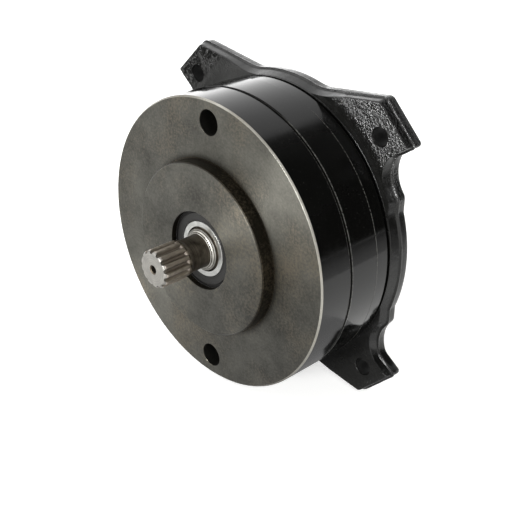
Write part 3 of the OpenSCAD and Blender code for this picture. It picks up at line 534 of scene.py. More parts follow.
def cast_paint(name, colour):
    """Black paint on sand-cast iron. The flanks are rubbed smooth and satin. The fronts and ends of the
    ears keep the grain of the sand. It's coarsest on the upper right ear, where the paint has run down
    in wrinkles, and burnt on in lumps on the upper left one. The lower ear's end is a little rough."""
    material, tree, at, radius = begin(name)
    face = add(tree, "NewGeometry")["Normal"]
    flat = add(tree, "VectorMath", {0: at, 1: FLAT}, operation="MULTIPLY")[0]
    outward = add(tree, "VectorMath", {0: flat}, operation="NORMALIZE")[0]
    to_end = add(tree, "VectorMath", {0: face, 1: outward}, operation="DOT_PRODUCT")["Value"]
    to_front = add(tree, "VectorMath", {0: face, 1: (0, -1, 0)}, operation="DOT_PRODUCT")["Value"]
    facing = add(tree, "Math", {0: to_end, 1: to_front}, operation="MAXIMUM")[0]
    facing = add(tree, "MapRange", {"Value": facing, "From Min": 0.8, "From Max": 0.92})[0]
    on_ear = add(tree, "MapRange", {"Value": radius, "From Min": 0.0885, "From Max": 0.094})[0]
    corner_way = add(tree, "VectorMath", {0: at, 1: RIGHT_EAR_WAY}, operation="DOT_PRODUCT")["Value"]
    coarse = add(tree, "MapRange", {"Value": corner_way, "From Min": 0.03, "From Max": 0.085,
                                    "To Min": 0.18, "To Max": 1})[0]
    other_way = add(tree, "VectorMath", {0: at, 1: LEFT_EAR_WAY}, operation="DOT_PRODUCT")["Value"]
    lumps = add(tree, "TexNoise", {"Vector": at, "Scale": per(5), "Detail": 2})[0]
    lumps = add(tree, "MapRange", {"Value": lumps, "From Min": 0.38, "From Max": 0.5})[0]
    burnt = add(tree, "MapRange", {"Value": other_way, "From Min": 0.095, "From Max": 0.1})[0]
    front = add(tree, "MapRange", {"Value": to_front, "From Min": 0.8, "From Max": 0.92})[0]
    burnt = add(tree, "Math", {0: burnt, 1: lumps}, operation="MULTIPLY")[0]
    burnt = add(tree, "Math", {0: burnt, 1: front}, operation="MULTIPLY")[0]
    outer = add(tree, "Math", {0: facing, 1: on_ear}, operation="MULTIPLY")[0]
    sandy = add(tree, "Math", {0: outer, 1: coarse}, operation="MULTIPLY")[0]
    raw = add(tree, "Math", {0: outer, 1: burnt}, operation="MULTIPLY")[0]
    raw = add(tree, "Math", {0: raw, 1: sandy}, operation="MAXIMUM")[0]
    low_end = add(tree, "MapRange", {"Value": other_way, "From Min": -0.11, "From Max": -0.106,
                                     "To Min": 0.6, "To Max": 0})[0]
    raw = add(tree, "Math", {0: raw, 1: low_end}, operation="MAXIMUM")[0]
    grain = add(tree, "TexNoise", {"Vector": at, "Scale": per(sizes().cast_grain / MM), "Detail": 2,
                                   "Roughness": 0.5})[0]
    drawn = add(tree, "Mapping", {"Vector": at, "Scale": (1, 1, 0.35)})[0]
    wrinkle = add(tree, "TexNoise", {"Vector": drawn, "Scale": per(1.7), "Detail": 2, "Distortion": 0.6})[0]
    skin = add(tree, "Math", {0: grain, 1: wrinkle}, operation="ADD")[0]
    skin = add(tree, "Math", {0: skin, 1: raw}, operation="MULTIPLY")[0]
    wave = add(tree, "TexNoise", {"Vector": at, "Scale": per(6), "Detail": 3})[0]
    soft = add(tree, "Bump", {"Strength": 0.5, "Distance": 0.6 * MM, "Height": wave})
    rough = add(tree, "Bump", {"Strength": 1.0, "Distance": 1.1 * MM, "Height": skin, "Normal": soft[0]})
    pale = add(tree, "Math", {0: wave, 1: burnt}, operation="SUBTRACT", use_clamp=True)[0]
    tone = add(tree, "Mix", {0: pale, 6: colour, 7: "#151514"}, data_type="RGBA")[2]
    dull = add(tree, "MapRange", {"Value": wave, "From Min": 0.3, "From Max": 0.7, "To Min": 0.15,
                                  "To Max": 0.32})[0]
    shine = add(tree, "MapRange", {"Value": to_front, "From Min": 0.6, "From Max": 0.9, "To Min": 0.42,
                                   "To Max": 0.24})[0]
    # Painted sheen: faces that look up get more shine
    top_sheen = add(tree, "VectorMath", {0: face, 1: (0, 0, 1)}, operation="DOT_PRODUCT")["Value"]
    top_sheen = add(tree, "MapRange", {"Value": top_sheen, "From Min": 0.8, "From Max": 0.97, "To Max": 0.45})[0]
    shine = add(tree, "Math", {0: shine, 1: top_sheen}, operation="ADD")[0]
    lit_skin = add(tree, "Math", {0: sandy, 1: front}, operation="MULTIPLY")[0]
    shine = add(tree, "Math", {0: lit_skin, 1: 0.75, 2: shine}, operation="MULTIPLY_ADD")[0]
    either = add(tree, "Math", {0: other_way}, operation="ABSOLUTE")[0]
    shaded = add(tree, "MapRange", {"Value": either, "From Min": 0.084, "From Max": 0.092, "To Max": 0.2})[0]
    shaded = add(tree, "Math", {0: shaded, 1: front}, operation="MULTIPLY")[0]
    shaded = add(tree, "Math", {0: burnt, 1: 0.16, 2: shaded}, operation="MULTIPLY_ADD")[0]
    shine = add(tree, "Math", {0: shine, 1: shaded}, operation="SUBTRACT", use_clamp=True)[0]
    glint = add(tree, "MapRange", {"Value": grain, "From Min": 0.58, "From Max": 0.64})[0]
    glint = add(tree, "Math", {0: glint, 1: burnt}, operation="MULTIPLY")[0]
    shine = add(tree, "Math", {0: glint, 1: 0.6, 2: shine}, operation="MULTIPLY_ADD")[0]
    shader = add(tree, "BsdfPrincipled", {"Base Color": tone, "Roughness": dull, "IOR": 1.5,
                                          "Specular IOR Level": shine, "Normal": rough[0]})
    add(tree, "OutputMaterial", {"Surface": shader["BSDF"]})
    return material


def drilled_wall(name, dark, light):
    """Wall of a drilled hole in painted or oiled iron: near black, rough, with the drill's spiral."""
    material, tree, at, _ = begin(name)
    y = add(tree, "SeparateXYZ", {0: at})["Y"]
    trace = add(tree, "TexNoise", {"W": y, "Scale": per(0.5), "Detail": 2}, noise_dimensions="1D")[0]
    cloud = add(tree, "TexNoise", {"Vector": at, "Scale": per(3), "Detail": 3})[0]
    base = add(tree, "Mix", {0: cloud, 6: dark, 7: light}, data_type="RGBA")[2]
    bump = add(tree, "Bump", {"Strength": 0.5, "Distance": 0.1 * MM, "Height": trace})
    shader = add(tree, "BsdfPrincipled", {"Base Color": base, "Roughness": 0.55, "IOR": 1.45,
                                          "Specular IOR Level": 0.22, "Normal": bump[0]})
    add(tree, "OutputMaterial", {"Surface": shader["BSDF"]})
    return material


def spline_steel(name, dark, light):
    """Hobbed steel with a thin brown film and fine hob marks along the teeth. The tips are lighter and the
    gaps darker: partly ground tips, and partly a painted highlight on the tips and painted shade in the
    gaps."""
    material, tree, at, radius = begin(name)
    drawn = add(tree, "Mapping", {"Vector": at, "Scale": (1, 0.12, 1)})[0]
    marks = add(tree, "TexNoise", {"Vector": drawn, "Scale": per(0.5), "Detail": 3})[0]
    cloud = add(tree, "TexNoise", {"Vector": at, "Scale": per(3), "Detail": 3})[0]
    # Painted highlight and shade: lighter towards the tips, darker in the gaps
    tip = add(tree, "MapRange", {"Value": radius, "From Min": 9.5 * MM, "From Max": 10.8 * MM,
                                 "To Min": 0.3})[0]
    mixed = add(tree, "Math", {0: marks, 1: cloud}, operation="ADD")[0]
    mixed = add(tree, "MapRange", {"Value": mixed, "From Min": 0.7, "From Max": 1.3, "To Min": 0.55,
                                   "To Max": 1.3})[0]
    tone = add(tree, "Math", {0: tip, 1: mixed}, operation="MULTIPLY", use_clamp=True)[0]
    metal = add(tree, "Mix", {0: tone, 6: dark, 7: light}, data_type="RGBA")[2]
    bump = add(tree, "Bump", {"Strength": 0.35, "Distance": 0.03 * MM, "Height": marks})
    dull = add(tree, "MapRange", {"Value": cloud, "To Min": 0.26, "To Max": 0.46})[0]
    shader = add(tree, "BsdfPrincipled", {"Base Color": metal, "Metallic": 1.0, "Roughness": dull,
                                          "Normal": bump[0]})
    add(tree, "OutputMaterial", {"Surface": shader["BSDF"]})
    return material


def ground_steel(name, dark, light, rough, line_mm=0.4, bump_mm=0.01):
    """Steel, turned or ground. Fine lines round the axis, with tone and shine that drift along it."""
    material, tree, at, radius = begin(name)
    split = add(tree, "SeparateXYZ", {0: at})
    travel = add(tree, "Math", {0: split["Y"], 1: radius}, operation="ADD")[0]
    lines = add(tree, "TexNoise", {"W": travel, "Scale": per(line_mm), "Detail": 3},
                noise_dimensions="1D")[0]
    drift = add(tree, "TexNoise", {"Vector": at, "Scale": per(4), "Detail": 4})[0]
    both = add(tree, "Math", {0: lines, 1: drift}, operation="MULTIPLY")[0]
    tone = add(tree, "MapRange", {"Value": both, "From Min": 0.12, "From Max": 0.42})[0]
    metal = add(tree, "Mix", {0: tone, 6: dark, 7: light}, data_type="RGBA")[2]
    dull = add(tree, "MapRange", {"Value": drift, "From Min": 0.3, "From Max": 0.7, "To Min": rough * 0.8,
                                  "To Max": rough * 1.25})[0]
    bump = add(tree, "Bump", {"Strength": 0.4, "Distance": bump_mm * MM, "Height": lines})
    shader = add(tree, "BsdfPrincipled", {"Base Color": metal, "Metallic": 1.0, "Roughness": dull,
                                          "Normal": bump[0]})
    add(tree, "OutputMaterial", {"Surface": shader["BSDF"]})
    return material


def nitrile_rubber(name):
    """Moulded nitrile rubber: near black, dull, with a faint bloom and a fine matt grain."""
    material, tree, at, _ = begin(name)
    grain = add(tree, "TexNoise", {"Vector": at, "Scale": per(0.5), "Detail": 2})[0]
    bloom = add(tree, "TexNoise", {"Vector": at, "Scale": per(6), "Detail": 4})[0]
    base = add(tree, "Mix", {0: bloom, 6: "#0a0a09", 7: "#161513"}, data_type="RGBA")[2]
    dull = add(tree, "MapRange", {"Value": bloom, "To Min": 0.36, "To Max": 0.6})[0]
    bump = add(tree, "Bump", {"Strength": 0.15, "Distance": 0.03 * MM, "Height": grain})
    shader = add(tree, "BsdfPrincipled", {"Base Color": base, "Roughness": dull, "IOR": 1.5,
                                          "Specular IOR Level": 0.26, "Normal": bump[0]})
    add(tree, "OutputMaterial", {"Surface": shader["BSDF"]})
    return material


def friction_lining(name):
    """Moulded friction lining: brown-grey resin with short brass chips and pale fibres."""
    material, tree, at, _ = begin(name)
    chips = add(tree, "TexVoronoi", {"Vector": at, "Scale": per(1.4)})["Distance"]
    brass = add(tree, "MapRange", {"Value": chips, "From Min": 0.12, "From Max": 0.2, "To Min": 1,
                                   "To Max": 0})[0]
    cloud = add(tree, "TexNoise", {"Vector": at, "Scale": per(2), "Detail": 5})[0]
    resin = add(tree, "Mix", {0: cloud, 6: "#3a342c", 7: "#5c5244"}, data_type="RGBA")[2]
    base = add(tree, "Mix", {0: brass, 6: resin, 7: "#a98a4e"}, data_type="RGBA")[2]
    bump = add(tree, "Bump", {"Strength": 0.4, "Distance": 0.1 * MM, "Height": cloud})
    shader = add(tree, "BsdfPrincipled", {"Base Color": base, "Roughness": 0.85, "Normal": bump[0]})
    add(tree, "OutputMaterial", {"Surface": shader["BSDF"]})
    return material


def enamelled_copper(name):
    """Coil of 0.7 mm copper wire in clear red enamel: even shining turns side by side, each painted lighter
    on its crest and darker between turns, as painted highlight and shade.
    """
    wire = 0.7 * MM
    material, tree, at, radius = begin(name)
    split = add(tree, "SeparateXYZ", {0: at})
    way = add(tree, "Math", {0: split["Y"], 1: radius}, operation="ADD")[0]
    phase = add(tree, "Math", {0: way, 1: 2 * math.pi / wire}, operation="MULTIPLY")[0]
    turns = add(tree, "Math", {0: phase}, operation="SINE")[0]
    # Painted highlight and shade: lighter on each turn's crest, darker between turns
    tone = add(tree, "MapRange", {"Value": turns, "From Min": -1})[0]
    base = add(tree, "Mix", {0: tone, 6: "#5a2414", 7: "#b4572c"}, data_type="RGBA")[2]
    bump = add(tree, "Bump", {"Strength": 0.8, "Distance": 0.2 * MM, "Height": turns})
    shader = add(tree, "BsdfPrincipled", {"Base Color": base, "Metallic": 0.7, "Roughness": 0.25,
                                          "Normal": bump[0]})
    add(tree, "OutputMaterial", {"Surface": shader["BSDF"]})
    return material


def glass_filled_nylon(name):
    """Moulded nylon with glass fibre: natural cream, a slight flow pattern, a dull wax shine."""
    material, tree, at, _ = begin(name)
    flow = add(tree, "TexNoise", {"Vector": at, "Scale": per(5), "Detail": 4, "Distortion": 1.5})[0]
    base = add(tree, "Mix", {0: flow, 6: "#c9bfa6", 7: "#e6dfcb"}, data_type="RGBA")[2]
    bump = add(tree, "Bump", {"Strength": 0.15, "Distance": 0.05 * MM, "Height": flow})
    shader = add(tree, "BsdfPrincipled", {"Base Color": base, "Roughness": 0.48, "IOR": 1.53,
                                          "Normal": bump[0]})
    add(tree, "OutputMaterial", {"Surface": shader["BSDF"]})
    return material


# Pieces of the housing

class MESH_OT_front_cap(bpy.types.Operator):
    """Front cap: turned iron face and pilot boss, bright rim edge, enamelled band, two bolt holes"""

    bl_idname = "brake.front_cap"
    bl_label = "Front cap"

    def execute(self, context):
        boss_face, rear = y_range("front_cap")
        band = 22.0
        profile = rounded([
            (23, boss_face, 0.25), (PILOT_R - 0.9, boss_face, 0.35), (PILOT_R, boss_face + 0.9, 0.35),
            (PILOT_R, -0.35, 0.1), (PILOT_R - 0.35, -0.18, 0.1), (PILOT_R - 0.35, 0.12, 0.08),
            (PILOT_R + 0.9, 0.12, 0.08), (PILOT_R + 1.05, 0, 0.1),
            (BODY_R - 0.8, 0, 0.2), (BODY_R, 0.8, 0.25), (BODY_R, band, 0.5),
            (BODY_R - 2.5, band, 0.3), (BODY_R - 2.5, rear, 0.1), (64.3, rear, 0.2), (64.3, 20.2, 0.2),
            (62, 20.2, 0.3), (62, 14, 0.5), (26, 14, 0.4), (26, 11.4, 0.1), (27.3, 11.4, 0.1),
            (27.3, 9.7, 0.1), (26, 9.7, 0.1), (26, -5.3, 0.2), (23, -5.3, 0.1),
        ])

        def choose(radius, y):
            paint = (radius > BODY_R - 3) & (y > 0.9)
            # Painted highlight: the chamfer round the rim gets a lighter, smoother copy of the iron
            edge = (radius > BODY_R - 0.9) & (y <= 0.9)
            # Painted shade: the boss's side wall with the undercut at its foot, and the bore, get a darker
            # copy of the iron
            wall = (radius > PILOT_R - 0.5) & (radius < PILOT_R + 0.95) & (y > boss_face + 0.8)
            wall |= (radius < 23.2) & (y > boss_face + 0.2)
            # Painted shade: the walls of the groove by the ring take the near-black drilled wall, so the
            # groove reads as a dark line
            groove = (radius > 66) & (radius < BODY_R - 0.2) & (y > band - 0.6)
            return np.select([groove, paint, edge, wall], [4, 1, 2, 3], 0)

        look = colours()
        made = turning("front_cap_turning", profile, BODY_STEPS, [
            # The last 0.8 is the strength of the painted shade at the foot of the boss
            turned_iron("faced grey iron", look.iron_dark, look.iron_light, (0.36, 0.52), 0.8, 0.8),
            gloss_enamel("gloss black enamel, front band", look.enamel, band - 0.1, band - 0.1),
            turned_iron("bare iron edge, painted highlight", "#83817a", "#a9a79f", (0.25, 0.36)),
            turned_iron("iron wall of the boss, painted shade", "#211f1a", "#37332b", (0.4, 0.55)),
            drilled_wall("drilled iron and painted groove shade, front cap", "#050504", "#151410"),
        ], choose, mapped=True)
        bore(made, drill(BOLT_OUT, BOLT_ANGLES, [(BOLT_HOLE_R + 0.65, -0.4), (BOLT_HOLE_R - 0.1, 0.35)],
                         count=64))
        bore(made, [
            *drill(BOLT_OUT, BOLT_ANGLES, [(BOLT_HOLE_R, -1), (BOLT_HOLE_R, rear + 1)], count=64),
            *drill(BOLT_OUT, SCREW_ANGLES, [(4, 10.7), (4, rear + 1)]),
            *drill(BOLT_OUT, DOWEL_ANGLES, [(3, 17.2), (3, rear + 1)]),
            *drill(PIN_OUT, PIN_ANGLES, [(3, 10.5), (3, 15)]),
        ], drilled=4)
        place(made, "housing", ["front_cap"], "turned_iron")
        return {"FINISHED"}


class MESH_OT_housing_ring(bpy.types.Operator):
    """Housing ring: enamelled band with its fine step, registers, grommet seat"""

    bl_idname = "brake.housing_ring"
    bl_label = "Housing ring"

    def execute(self, context):
        lip, end = y_range("housing_ring")
        start = 23.2
        step = end - 8.8
        paint_edge = sizes().edge_round / MM
        profile = rounded([
            (62, lip, 0.2), (64.3, lip, 0.2), (64.3, 20.8, 0.1), (63, 20.8, 0.1),
            (63, 22.6, 0.1), (64.3, 22.6, 0.1), (64.3, start, 0.1), (BODY_R, start, paint_edge),
            (BODY_R, step - 0.1, 0.15), (BODY_R - 0.4, step + 0.2, 0.15), (BODY_R - 0.4, end, paint_edge),
            (62, end, 0.3),
        ])

        def choose(radius, y):
            # Painted shade: the walls of the groove by the cap take the near-black drilled wall, so the
            # groove reads as a dark line
            groove = (radius > 66) & (radius < BODY_R - 0.2) & (y < start + 0.6)
            paint = (radius > 66) & (y > start - 0.1)
            return np.select([groove, paint], [2, 0], 1)

        made = turning("housing_ring_turning", profile, BODY_STEPS, [
            gloss_enamel("gloss black enamel, rear band", colours().enamel, start + 0.1, step - 0.1),
            turned_iron("turned iron inside", "#77736a", "#8f8b80"),
            drilled_wall("drilled iron and painted groove shade, ring", "#0a0a09", "#1c1b19"),
        ], choose, mapped=True)
        bore(made, [
            *drill(BOLT_OUT, BOLT_ANGLES, [(BOLT_HOLE_R, 19), (BOLT_HOLE_R, end + 1)], count=64),
            *drill(BOLT_OUT, SCREW_ANGLES, [(4.5, start - 1), (4.5, end + 1)]),
            *drill(BOLT_OUT, DOWEL_ANGLES, [(3, start - 1), (3, start + 6)]),
            *drill(BOLT_OUT, DOWEL_ANGLES, [(3, end - 6), (3, end + 1)]),
            side_drill(4.5, -BODY_R - 1, -61),
            side_drill(6.7, -BODY_R - 1.5, -BODY_R + 1),
        ], drilled=2)
        place(made, "housing", ["housing_ring"], "black_paint")
        return {"FINISHED"}


def bearing(way):
    """Direction of a vector in degrees."""
    return math.degrees(math.atan2(way[1], way[0]))


def casting_outline():
    """Outline of the rear casting, quarter by quarter: an arc of the rim, the straight side edge, a
    6 mm rounding, the notch's 20 mm arc, the ear's side that widens by 10.5 degrees, its cut-off end
    between two rounded corners, the flank at 8 degrees, the 30 mm arc that meets the rim, and the
    rim's arc to the top."""
    edge_x = RIM_R - 5
    notch_r = 20.0
    round_r = 6.0
    blend_r = 30.0
    reach = RIM_R + 25.7
    half = 15.0
    slope = direction(8)
    diagonal = direction(45)
    across = direction(135)
    notch = (RIM_R + 2.6 + notch_r) * direction(28.5)
    round_x = edge_x - round_r
    round_z = notch[1] - math.sqrt((notch_r + round_r) ** 2 - (notch[0] - round_x) ** 2)
    meet = bearing(notch - (round_x, round_z))
    lower = reach * diagonal - half * across
    upper = reach * diagonal + half * across
    side = direction(225 - 10.5)
    from_notch = lower - notch
    back = from_notch @ side
    side_end = lower + side * (math.sqrt(back ** 2 - from_notch @ from_notch + notch_r ** 2) - back)
    notch_top = bearing(side_end - notch) + 6
    normal = np.array([-slope[1], slope[0]])
    off = upper @ normal
    along = math.sqrt((RIM_R + blend_r) ** 2 - (off + blend_r) ** 2)
    blend = along * slope + (off + blend_r) * normal
    blend_end = blend - blend_r * normal
    rim_angle = bearing(blend)
    web_angle = math.degrees(math.acos(edge_x / RIM_R))
    rim = arc((0, 0), RIM_R, 0, web_angle, 10)
    rounding = arc((round_x, round_z), round_r, 0, meet, 7)
    hollow = arc(notch, notch_r, 180 + meet, notch_top, 22)[1:]
    turn = corner(hollow[-1], side_end, lower, 6.0, 4)
    tip = corner(side_end, lower, upper, 2.0, 5)
    shoulder = corner(lower, upper, blend_end, 4.0, 6)
    sweep = arc(blend, blend_r, bearing(slope) - 90, rim_angle - 180, 12)
    quarter = np.concatenate([
        rim, straight(rim[-1], rounding[0], 4), rounding, hollow[:-1], turn,
        straight(turn[-1], tip[0], 8), tip, straight(tip[-1], shoulder[0], 10), shoulder,
        straight(shoulder[-1], sweep[0], 22), sweep, arc((0, 0), RIM_R, rim_angle, 90, 22)[1:],
    ])
    return np.concatenate([
        quarter,
        (quarter * [-1, 1])[::-1][1:],
        (quarter * [-1, -1])[1:],
        (quarter * [1, -1])[::-1][1:-1],
    ])


def bowl_angles(outline):
    """Directions for the turned inside, one for each point of the outline and always rising. Near the
    ears they close up on the ear's middle, so that lines from them pass its narrow neck."""
    angle = np.degrees(np.unwrap(np.arctan2(outline[:, 1], outline[:, 0])))
    off = angle % 90 - 45
    drawn = angle - off * 0.4 * np.exp(-(off / 12) ** 2)
    count = len(angle)
    rising = np.maximum.accumulate(drawn)
    falling = np.minimum.accumulate(drawn[::-1])[::-1]
    even = np.arange(count) * 360 / count
    return np.radians((rising + falling) / 2 * 0.9 + even * 0.1)


def fan_out(inner, outer, inner_angle, outer_angle, shares):
    """Rings between a turned ring and the outline. Radius and height run straight from one to the other,
    the direction leaves the outline's own with the fourth power of the share, so it turns in early."""
    share = np.asarray(shares)[:, None]
    inner_r = np.hypot(inner[:, 0], inner[:, 2])
    outer_r = np.hypot(outer[:, 0], outer[:, 2])
    radius = inner_r * (1 - share) + outer_r * share
    angle = inner_angle + (outer_angle - inner_angle) * share ** 4
    height = inner[:, 1] * (1 - share) + outer[:, 1] * share
    return polar(radius, height, angle)


def ripple(points, wavelength):
    """Smooth waves, mostly between -1 and 1: twice the mean of eight sines of the distance along eight
    fixed directions, each with its own phase and a wavelength up to a third longer or shorter."""
    rng = np.random.default_rng(7)
    ways = rng.normal(size=(8, 3))
    ways /= np.linalg.norm(ways, axis=1)[:, None]
    ways *= 2 * np.pi / (wavelength * rng.uniform(0.67, 1.33, 8))[:, None]
    return np.sin(points @ ways.T + rng.uniform(0, 2 * np.pi, 8)).mean(-1) * 2


class MESH_OT_rear_casting(bpy.types.Operator):
    """Rear casting: four ears, waved cast edge with its parting ridge, machined rear face and recess"""

    bl_idname = "brake.rear_casting"
    bl_label = "Rear casting"

    def execute(self, context):
        outline = casting_outline()
        angles = bowl_angles(outline)
        from_axis = np.unwrap(np.arctan2(outline[:, 1], outline[:, 0]))
        tangent = np.roll(outline, -1, 0) - np.roll(outline, 1, 0)
        tangent /= np.linalg.norm(tangent, axis=1)[:, None]
        outward = np.column_stack([tangent[:, 1], -tangent[:, 0]])
        size = np.linalg.norm(outline, axis=1)
        ear = eased(np.clip((size - RIM_R - 2.4) / 10, 0, 1))
        # Plane y, growth of the ears' outline and growth of the rim, from the front to the rear
        layers = np.array([
            (54.60, -2.10, -2.56), (54.72, -1.60, -2.50), (55.02, -1.24, -2.38), (55.50, -1.08, -2.20),
            (56.80, -0.90, -1.68), (58.30, -0.72, -1.08), (59.00, -0.60, -0.80), (59.35, -0.20, -0.50),
            (59.60, 0.34, 0.20), (60.00, 0.50, 0.46), (60.40, 0.36, 0.40), (60.70, -0.10, 0.02),
            (61.05, -0.25, -0.12), (62.20, 0.00, 0.00), (63.60, 0.04, 0.04), (64.80, 0.00, 0.00),
            (65.35, -0.12, -0.12), (65.75, -0.42, -0.42), (66.00, -0.95, -0.95),
        ])
        y, on_ear, on_rim = layers.T
        grow = on_ear[:, None] * ear + on_rim[:, None] * (1 - ear)
        flat = outline + grow[..., None] * outward
        wall = np.stack([flat[..., 0], np.broadcast_to(y[:, None], grow.shape), flat[..., 1]], -1)
        inside = np.sin(np.pi * (y - y[0]) / (y[-1] - y[0]))[:, None]
        waves = (ripple(wall, 16) * 0.7 + ripple(wall[..., [2, 0, 1]], 6) * 0.3) * sizes().cast_wave / MM
        wall[..., 0] += outward[:, 0] * waves * inside
        wall[..., 2] += outward[:, 1] * waves * inside
        ridge = 60.0
        near_ridge = np.exp(-((y - ridge) / 0.9) ** 2)[:, None]
        wall[..., 1] += near_ridge * ripple(wall[y == ridge] * FLAT, 26) * sizes().ridge_wander / MM
        # The ground poles stand 0.02 mm back, so the drawn-back armature rests on them without cutting in
        pole = 32.52
        # Inner profile from the gap's neck to the mouth of the pilot recess
        inner = softened([
            (84, 54), (82, 54), (82, 52.2), (62, 52.2), (62, 51), (60.7, 51), (60.7, 49.2), (62, 49.2),
            (62, 33), (61.5, pole), (52, pole), (52, 48), (36.96, 48), (36.96, pole), (20, pole),
            (20, 44), (23.5, 44), (23.5, 53), (24.7, 53), (24.7, 54.7), (23.5, 54.7), (23.5, 56),
            (PILOT_R, 56), (PILOT_R, 65), (PILOT_R + 1, 66),
        ], [0] + [0.12] * 20 + [0.3, 0.5, 0.2, 0], 2)
        bowl = around_axis(inner, angles)
        rear_face = fan_out(bowl[-1], wall[-1], angles, from_axis, np.linspace(0, 1, 9)[1:-1])
        lip = around_axis([(85.3, 54.45), (85.24, 54.14), (84.95, 54.0)], angles)
        share = np.linspace(1, 0, 10)[1:-1]
        front_face = fan_out(lip[0], wall[0], angles, from_axis, share)
        front_face[..., 1] -= (ripple(front_face, 9) * 0.5 * sizes().cast_wave / MM
                               * (ear * np.sin(np.pi * share[:, None])))
        grid = np.concatenate([bowl, rear_face, wall[::-1], front_face, lip])
        columns = len(outline)
        rows = np.zeros(len(grid), int)
        rows[len(bowl) - 1:len(bowl) + len(rear_face) - 1] = 1
        machined = (inner[:, 0] < 81) | (inner[:, 1] > 54.5)
        rows[:len(bowl) - 1][machined[:-1]] = 1
        made = add_object("rear_casting", solid(grid), [
            cast_paint("black paint on cast iron", colours().cast_paint),
            turned_iron("machined iron, rear", "#6c6961", "#8d897f", (0.32, 0.48)),
            drilled_wall("drilled iron, casting", "#0d0d0d", "#282827"),
        ], np.repeat(rows, columns), columns)
        bore(made, drill(EAR_OUT, EAR_ANGLES, [(6.0, 53.9), (5.5, 54.6), (5.25, 55.0), (5.1, 55.6)]))
        # The paint has gathered at the rear end of the ear holes
        bore(made, [
            *drill(EAR_OUT, EAR_ANGLES, [(5.15, 53), (5.15, 62.5), (4.8, 65), (4.8, 67)]),
            *drill(BOLT_OUT, BOLT_ANGLES, [(BOLT_HOLE_R, 51), (BOLT_HOLE_R, 65.5), (8.65, 67)], count=64),
            *drill(BOLT_OUT, SCREW_ANGLES, [(4.5, 51), (4.5, 57.4), (7, 57.4), (7, 65.6), (8.4, 67)]),
            *drill(BOLT_OUT, DOWEL_ANGLES, [(3, 51), (3, 58.2)]),
            *drill(PIN_OUT, PIN_ANGLES, [(3, 31.5), (3, 38)]),
            *drill(SPRING_OUT, SPRING_ANGLES, [(4.5, 31.5), (4.5, 43)]),
            side_drill(3, -63, -51),
        ], drilled=2)
        place(made, "housing", ["magnet_housing"], "black_paint", sharp=38)
        return {"FINISHED"}


# Bearings and seals

def ring_profile(bore_r, outer_r, start, end, groove_r):
    """Section of an inner bearing ring with rounded edges and the ball's groove as an arc of its circle."""
    half = math.degrees(math.asin(math.sqrt(groove_r ** 2 - (BALL_OUT - outer_r) ** 2) / groove_r))
    groove = arc((BALL_OUT, (start + end) / 2), groove_r, 180 + half, 180 - half, 12)
    before = [(bore_r, end), (bore_r, start + 0.75), (bore_r + 0.75, start), (outer_r, start)]
    corners = np.concatenate([before, groove, [(outer_r, end)]])
    return softened(corners, [0.3] * 4 + [0.1] + [0.04] * 11 + [0.1, 0.3], 4)


def seal_profile(inner_r, outer_r, face, back):
    """Section of a rubber seal: lip, disc, a groove before the rim, and the rim's narrow bead. Face is
    the plane that shows and back the one towards the balls."""
    into = 1 if back > face else -1
    return softened([
        (inner_r, face + 0.3 * into), (inner_r + 0.3, face), (inner_r + 0.8, face),
        (inner_r + 1.1, face + 0.2 * into), (outer_r - 2.7, face + 0.2 * into),
        (outer_r - 2.5, face), (outer_r - 2.1, face), (outer_r - 1.9, face + 0.8 * into),
        (outer_r - 0.75, face + 0.8 * into), (outer_r - 0.6, face + 0.1 * into),
        (outer_r - 0.25, face + 0.1 * into), (outer_r, face + 0.4 * into), (outer_r, back),
        (inner_r, back),
    ], 0.1)


class MESH_OT_front_bearing(bpy.types.Operator):
    """Front bearing: ground inner ring and two rubber seals"""

    bl_idname = "brake.front_bearing"
    bl_label = "Front bearing"

    def execute(self, context):
        start = -5.3
        end = 9.7

        # Painted shadow: the chamfer at the bore, beside the shaft's shoulder, is near black
        def choose(radius, y):
            return np.where((radius < 13.25) & (y < start + 0.76), 1, 0)

        made = turning("front_bearing_inner_ring", ring_profile(12.5, 16.28, start, end, 4.0), RING_STEPS, [
            ground_steel("ground bearing steel", "#929390", "#b8b8b5", 0.38, 0.35, 0.004),
            ground_steel("painted shadow on the bore edge", "#1b1815", "#37322b", 0.4, 0.5),
        ], choose)
        place(made, "shaft", ["front_bearing_inner"], "bearing_steel")

        # Painted shade: the groove before the seal's rim is near black
        def groove_shade_slots(radius, y):
            return np.where((radius > 21.05) & (radius < 22.6), 1, 0)

        profiles = [seal_profile(16.4, 23.2, start + 0.1, start + 1.1),
                    seal_profile(16.4, 23.2, end - 0.1, end - 1.1)]
        seals = [solid(around_axis(profile, even_angles(SEAL_STEPS))) for profile in profiles]
        made = add_object("front_bearing_rubber_seals", joined(seals), [
            nitrile_rubber("nitrile seal rubber"),
            drilled_wall("painted shade in the seal's groove", "#050504", "#0f0e0d"),
        ], np.concatenate([row_finish(profile, groove_shade_slots, SEAL_STEPS) for profile in profiles]))
        place(made, "housing", ["front_bearing_seals"], "seal_rubber")
        return {"FINISHED"}


class MESH_OT_rear_bearing(bpy.types.Operator):
    """Rear bearing: ground inner ring and its rubber seal"""

    bl_idname = "brake.rear_bearing"
    bl_label = "Rear bearing"

    def execute(self, context):
        made = turning("rear_bearing_inner_ring", ring_profile(15, 17.38, 44, 53, 2.53), RING_STEPS, [
            ground_steel("ground bearing steel, rear", "#9b9c98", "#bdbdb9", 0.26, 0.35, 0.004)])
        place(made, "shaft", ["rear_bearing_inner"], "bearing_steel")
        profile = softened([
            (17.5, 52.6), (17.9, 52.9), (18.3, 52.9), (18.6, 52.6), (20.3, 52.6), (20.5, 52.85),
            (21.9, 52.85), (21.9, 51.9), (17.5, 51.9),
        ], 0.1)
        made = turning("rear_bearing_rubber_seal", profile, SEAL_STEPS, [
            nitrile_rubber("nitrile seal rubber, rear")])
        place(made, "housing", ["rear_bearing_seal"], "seal_rubber")
        return {"FINISHED"}


